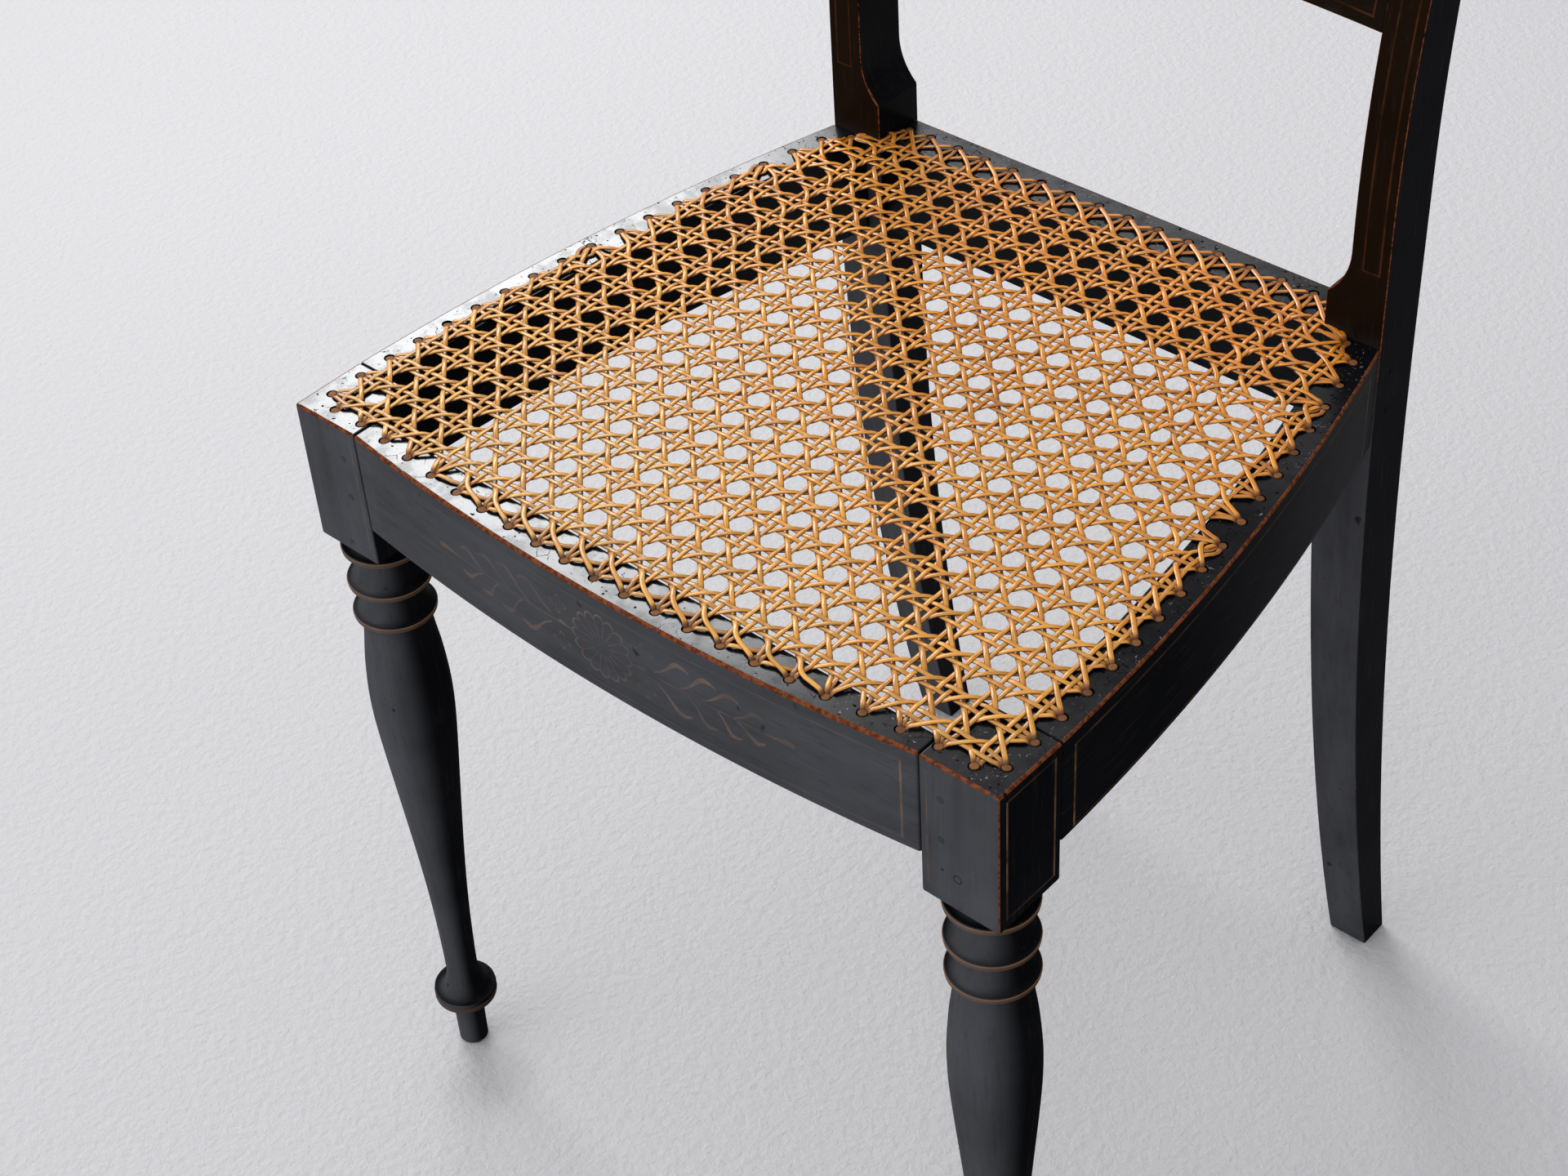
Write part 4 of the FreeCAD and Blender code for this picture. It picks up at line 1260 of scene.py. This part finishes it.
def woven(name, strands, seed):
    """Sweeps the strand's section along each path, and joins the strands into one piece."""
    shade = random.Random(seed)
    bm = bmesh.new()
    tone = bm.faces.layers.float.new("tone")
    uv = bm.loops.layers.uv.new("UVMap")
    for points in strands:
        curve = bpy.data.curves.new("strand", "CURVE")
        curve.dimensions, curve.twist_mode, curve.resolution_u = "3D", "Z_UP", strand_detail
        curve.bevel_mode, curve.bevel_object, curve.use_fill_caps = "OBJECT", strand_section, True
        spline = curve.splines.new("BEZIER")
        spline.bezier_points.add(len(points) - 1)
        for knot, spot in zip(spline.bezier_points, points):
            knot.co = Vector(spot) + Vector((shade.uniform(-1, 1), shade.uniform(-1, 1), 0.0)) * hand_wander
            knot.handle_left_type = knot.handle_right_type = "AUTO"
            knot.radius = 1.0 + shade.uniform(-width_wander, width_wander)
        strand = added("strand", curve)
        mesh = mesh_of(strand)
        bpy.data.objects.remove(strand)
        before = len(bm.faces)
        bm.from_mesh(mesh)
        bpy.data.meshes.remove(mesh)
        bm.faces.ensure_lookup_table()
        own = shade.random()
        length = sum(math.dist(a, b) for a, b in zip(points, points[1:]))
        for face in bm.faces[before:]:
            face[tone] = own
            for loop in face.loops:
                loop[uv].uv.x *= length
    bmesh.ops.remove_doubles(bm, verts=bm.verts, dist=2e-6)
    piece(name, bm, cane_finish, nodes=("cane_seat",), crisp=False)


def rattan():
    """Glossy rattan bark: honey coloured, streaked along its length, and redder with age at the rear."""
    made, tree, spot = new_material("aged_cane")
    where = spot["Object"]
    at = parts_of(where)
    tone = carried(tree, "tone")
    way = parts_of(wires(place(tree, "UVMap", uv_map="UVMap"))["UV"])
    stripe = place(tree, "CombineXYZ", {"X": way["X"] * 22.0, "Y": way["Y"] * 14.0, "Z": tone * 40.0})
    fibre = speckle(wires(stripe)["Vector"], 1.0, 5.0, 0.6)
    blotch = speckle(where, 38.0, 4.0, 0.6)

    # redder towards the rear and the sitter's left
    age = lifted(at["X"], 0.7, lifted(at["Y"], 1.8, 0.34))
    age = lifted(speckle(where, 7.0, 2.0) - 0.5, 0.9, age, clamp=True)
    pale = blend(age, (0.93, 0.490, 0.088), (1.0, 0.34, 0.005))
    deep = blend(age, (0.60, 0.220, 0.022), (0.70, 0.150, 0.002))
    colour = blend(ramp(fibre, 0.30, 0.66), deep, pale)
    own = lifted(tone, 0.34, 0.82)
    own = wires(place(tree, "CombineColor", {0: own, 1: own, 2: own}))["Color"]
    colour = blend(1.0, colour, own, "MULTIPLY")

    # blotches; painted shade on the strands' sides and under the crossings; and darker where the strands go
    # down into the holes
    sides = fade(parts_of(spot["Normal"])["Z"], 0.42, 0.98)
    under = fade(at["Z"], weave_level - layer * 0.8, weave_level + layer * 0.9)
    low = fade(at["Z"], seat_height - 0.0012, seat_height + 0.0004)
    for mask, share, dirt in ((ramp(blotch, 0.58, 0.76), 0.4, (0.30, 0.092, 0.022)),
                              (sides, 0.95, (0.080, 0.018, 0.003)), (under, 0.72, (0.20, 0.055, 0.006)),
                              (low, 0.75, (0.13, 0.045, 0.014))):
        colour = blend(mask * share, colour, dirt)
    surfaced(fibre * 0.10 + blotch * 0.04, 0.00025, {
        "Base Color": colour, "Roughness": lifted(fibre, 0.14, 0.13), "Specular IOR Level": 0.65})
    return made


cane_finish = rattan()
falling = [strand for strand in (slanting(line) for line in slant_lines) if strand]
woven("cane_front_to_rear", [front_to_rear(column, side) for column in columns for side in (-1, 1)], 3)
woven("cane_side_to_side", [side_to_side(row, side) for row in rows for side in (-1, 1)], 5)
woven("cane_falling", falling, 7)
woven("cane_rising", [mirrored_strand(strand) for strand in falling], 9)
bpy.data.objects.remove(strand_section)


# Cane pegs. Short whittled sticks, tapped into every hole beside the strand ends to lock them, cut
# off at the rail and darkened with dirt.
peg_radius = 0.0023
peg_length = 0.0094
peg_taper = 0.92
peg_tops = (-0.0006, 0.0002)
peg_crown = 0.00012
peg_rim = 0.0006
peg_tilt = 0.12


def peg_wood():
    """Raw wood with a fine grain, dark with dirt on its cut end, with painted shade on its sides and round
    its cut end.
    """
    made, tree, spot = new_material("cane_peg_wood")
    where = spot["Object"]
    grain = speckle(where, 900.0, 4.0, 0.6)
    age = speckle(where, 45.0, 3.0, 0.5)
    colour = blend(grain, (0.085, 0.027, 0.007), (0.42, 0.165, 0.042))
    colour = blend(ramp(age, 0.44, 0.70) * 0.6, colour, (0.040, 0.018, 0.010))
    # painted shade: the peg's sides and the slope round its cut end are near black, as the hole's shadow
    # round the peg
    colour = blend(ramp(parts_of(spot["Normal"])["Z"], 0.5, 0.97), (0.018, 0.008, 0.005), colour)
    surfaced(grain, 0.0003, {"Base Color": colour, "Roughness": lifted(grain, 0.3, 0.45),
                             "Specular IOR Level": 0.25})
    return made


peg_finish = peg_wood()
whittle = random.Random(21)
for name, places in (("front_cane_pegs", on_both_sides(front_holes)),
                     ("rear_cane_pegs", on_both_sides(rear_holes)), ("right_cane_pegs", side_holes.values()),
                     ("left_cane_pegs", [(-x, y) for x, y in side_holes.values()])):
    bm = bmesh.new()
    for x, y in places:
        top = seat_height + whittle.uniform(*peg_tops)
        middle = top - peg_length / 2
        made = bmesh.ops.create_cone(bm, cap_ends=True, segments=12, radius1=peg_radius * peg_taper,
                                     radius2=peg_radius, depth=peg_length,
                                     matrix=Matrix.Translation((x, y, middle)))["verts"]
        upper = [v for v in made if v.co.z > middle]
        lid = next(f for f in upper[0].link_faces if len(f.verts) > 4 and all(v in upper for v in f.verts))
        bmesh.ops.inset_region(bm, faces=[lid], thickness=peg_rim, depth=0.0)
        bmesh.ops.translate(bm, verts=lid.verts, vec=(0, 0, peg_crown))
        tilt = (Matrix.Rotation(whittle.uniform(-peg_tilt, peg_tilt), 3, "X")
                @ Matrix.Rotation(whittle.uniform(-peg_tilt, peg_tilt), 3, "Y"))
        cut_end = [v for v in bm.verts if v.co.z > top - 0.001 and math.hypot(v.co.x - x, v.co.y - y) < 0.004]
        bmesh.ops.rotate(bm, verts=cut_end, cent=(x, y, top), matrix=tilt)
    piece(name, bm, peg_finish, crisp=False)


# Studio: a pale seamless floor, soft light from high on the left behind the chair, and the camera
# above the sitter's left knee, looking down at the seat.
floor_tone = (0.690, 0.682, 0.695, 1.0)
bm = bmesh.new()
bmesh.ops.create_grid(bm, x_segments=1, y_segments=1, size=9.0)
floor = object_of("floor", bm)
floor_paint, tree, spot = new_material("floor_plaster")
relief = place(tree, "TexNoise", {"Vector": spot["Object"], "Scale": 150.0, "Detail": 6.0, "Roughness": 0.62})
surfaced(wires(relief)["Fac"], 0.0026, {"Base Color": floor_tone, "Roughness": 0.85}, strength=0.75)
floor.data.materials.append(floor_paint)

window_way = (-0.72, -0.55, 0.42)
world = bpy.data.worlds.new("studio")
bpy.context.scene.world = world
world.use_nodes = True
tree = world.node_tree
way = wires(place(tree, "TexCoord"))["Generated"]
toward = wires(place(tree, "VectorMath", {0: way, 1: window_way}, operation="DOT_PRODUCT"))["Value"]
glow = place(tree, "MapRange", {"Value": toward, "From Min": -0.7, "From Max": 0.9, "To Min": 0.24,
                                "To Max": 1.02})
seen = wires(place(tree, "LightPath"))["Is Camera Ray"]
sky = place(tree, "Mix", {"Factor": seen, "A": wires(glow)["Result"], "B": 0.72}, data_type="FLOAT")
backdrop = tree.nodes["Background"].inputs
backdrop["Color"].default_value = (0.958, 0.958, 0.985, 1.0)
end_at(backdrop["Strength"], Wire(sky.outputs[0]))

seat_middle = Vector((0.0, 0.0, 0.45))


def soft_light(name, spot, width, height, watts, tint=(1, 1, 1)):
    """A rectangular lamp that looks at the seat."""
    data = bpy.data.lights.new(name, "AREA")
    data.shape, data.size, data.size_y, data.energy, data.color = "RECTANGLE", width, height, watts, tint
    lamp = added(name, data)
    lamp.location = spot
    lamp.rotation_euler = (seat_middle - Vector(spot)).to_track_quat("-Z", "Y").to_euler()


soft_light("window", (-1.67, 1.15, 1.90), 0.80, 0.75, 15.0, (0.97, 0.985, 1.0))
soft_light("lamp", (-1.95, 0.42, 2.05), 0.65, 0.65, 13.0, (1.0, 0.99, 0.97))
soft_light("fill", (-0.9, -2.0, 1.7), 1.6, 1.2, 6.0)

camera_turn, camera_lift, camera_roll = (math.radians(a) for a in (44.155, 40.84, -4.06))
camera_far = 1.216
camera_aim = Vector((0.0631, -0.16955, 0.488))
sensor_width = 36.0
frame_pixels, focal_pixels = 1920, 3329
back = Vector((math.sin(camera_turn) * math.cos(camera_lift), -math.cos(camera_turn) * math.cos(camera_lift),
               math.sin(camera_lift)))
right = Vector((math.cos(camera_turn), math.sin(camera_turn), 0.0))
above = right.cross(-back)
tilted_right = right * math.cos(camera_roll) + above * math.sin(camera_roll)
tilted_above = above * math.cos(camera_roll) - right * math.sin(camera_roll)
camera_data = bpy.data.cameras.new("camera")
camera_data.sensor_width = sensor_width
camera_data.lens = focal_pixels * sensor_width / frame_pixels
camera = added("camera", camera_data)
camera.matrix_world = Matrix.Translation(camera_aim + back * camera_far) @ Matrix(
    (tilted_right, tilted_above, back)).transposed().to_4x4()
bpy.context.scene.camera = camera
bpy.context.scene.view_settings.view_transform = "Standard"
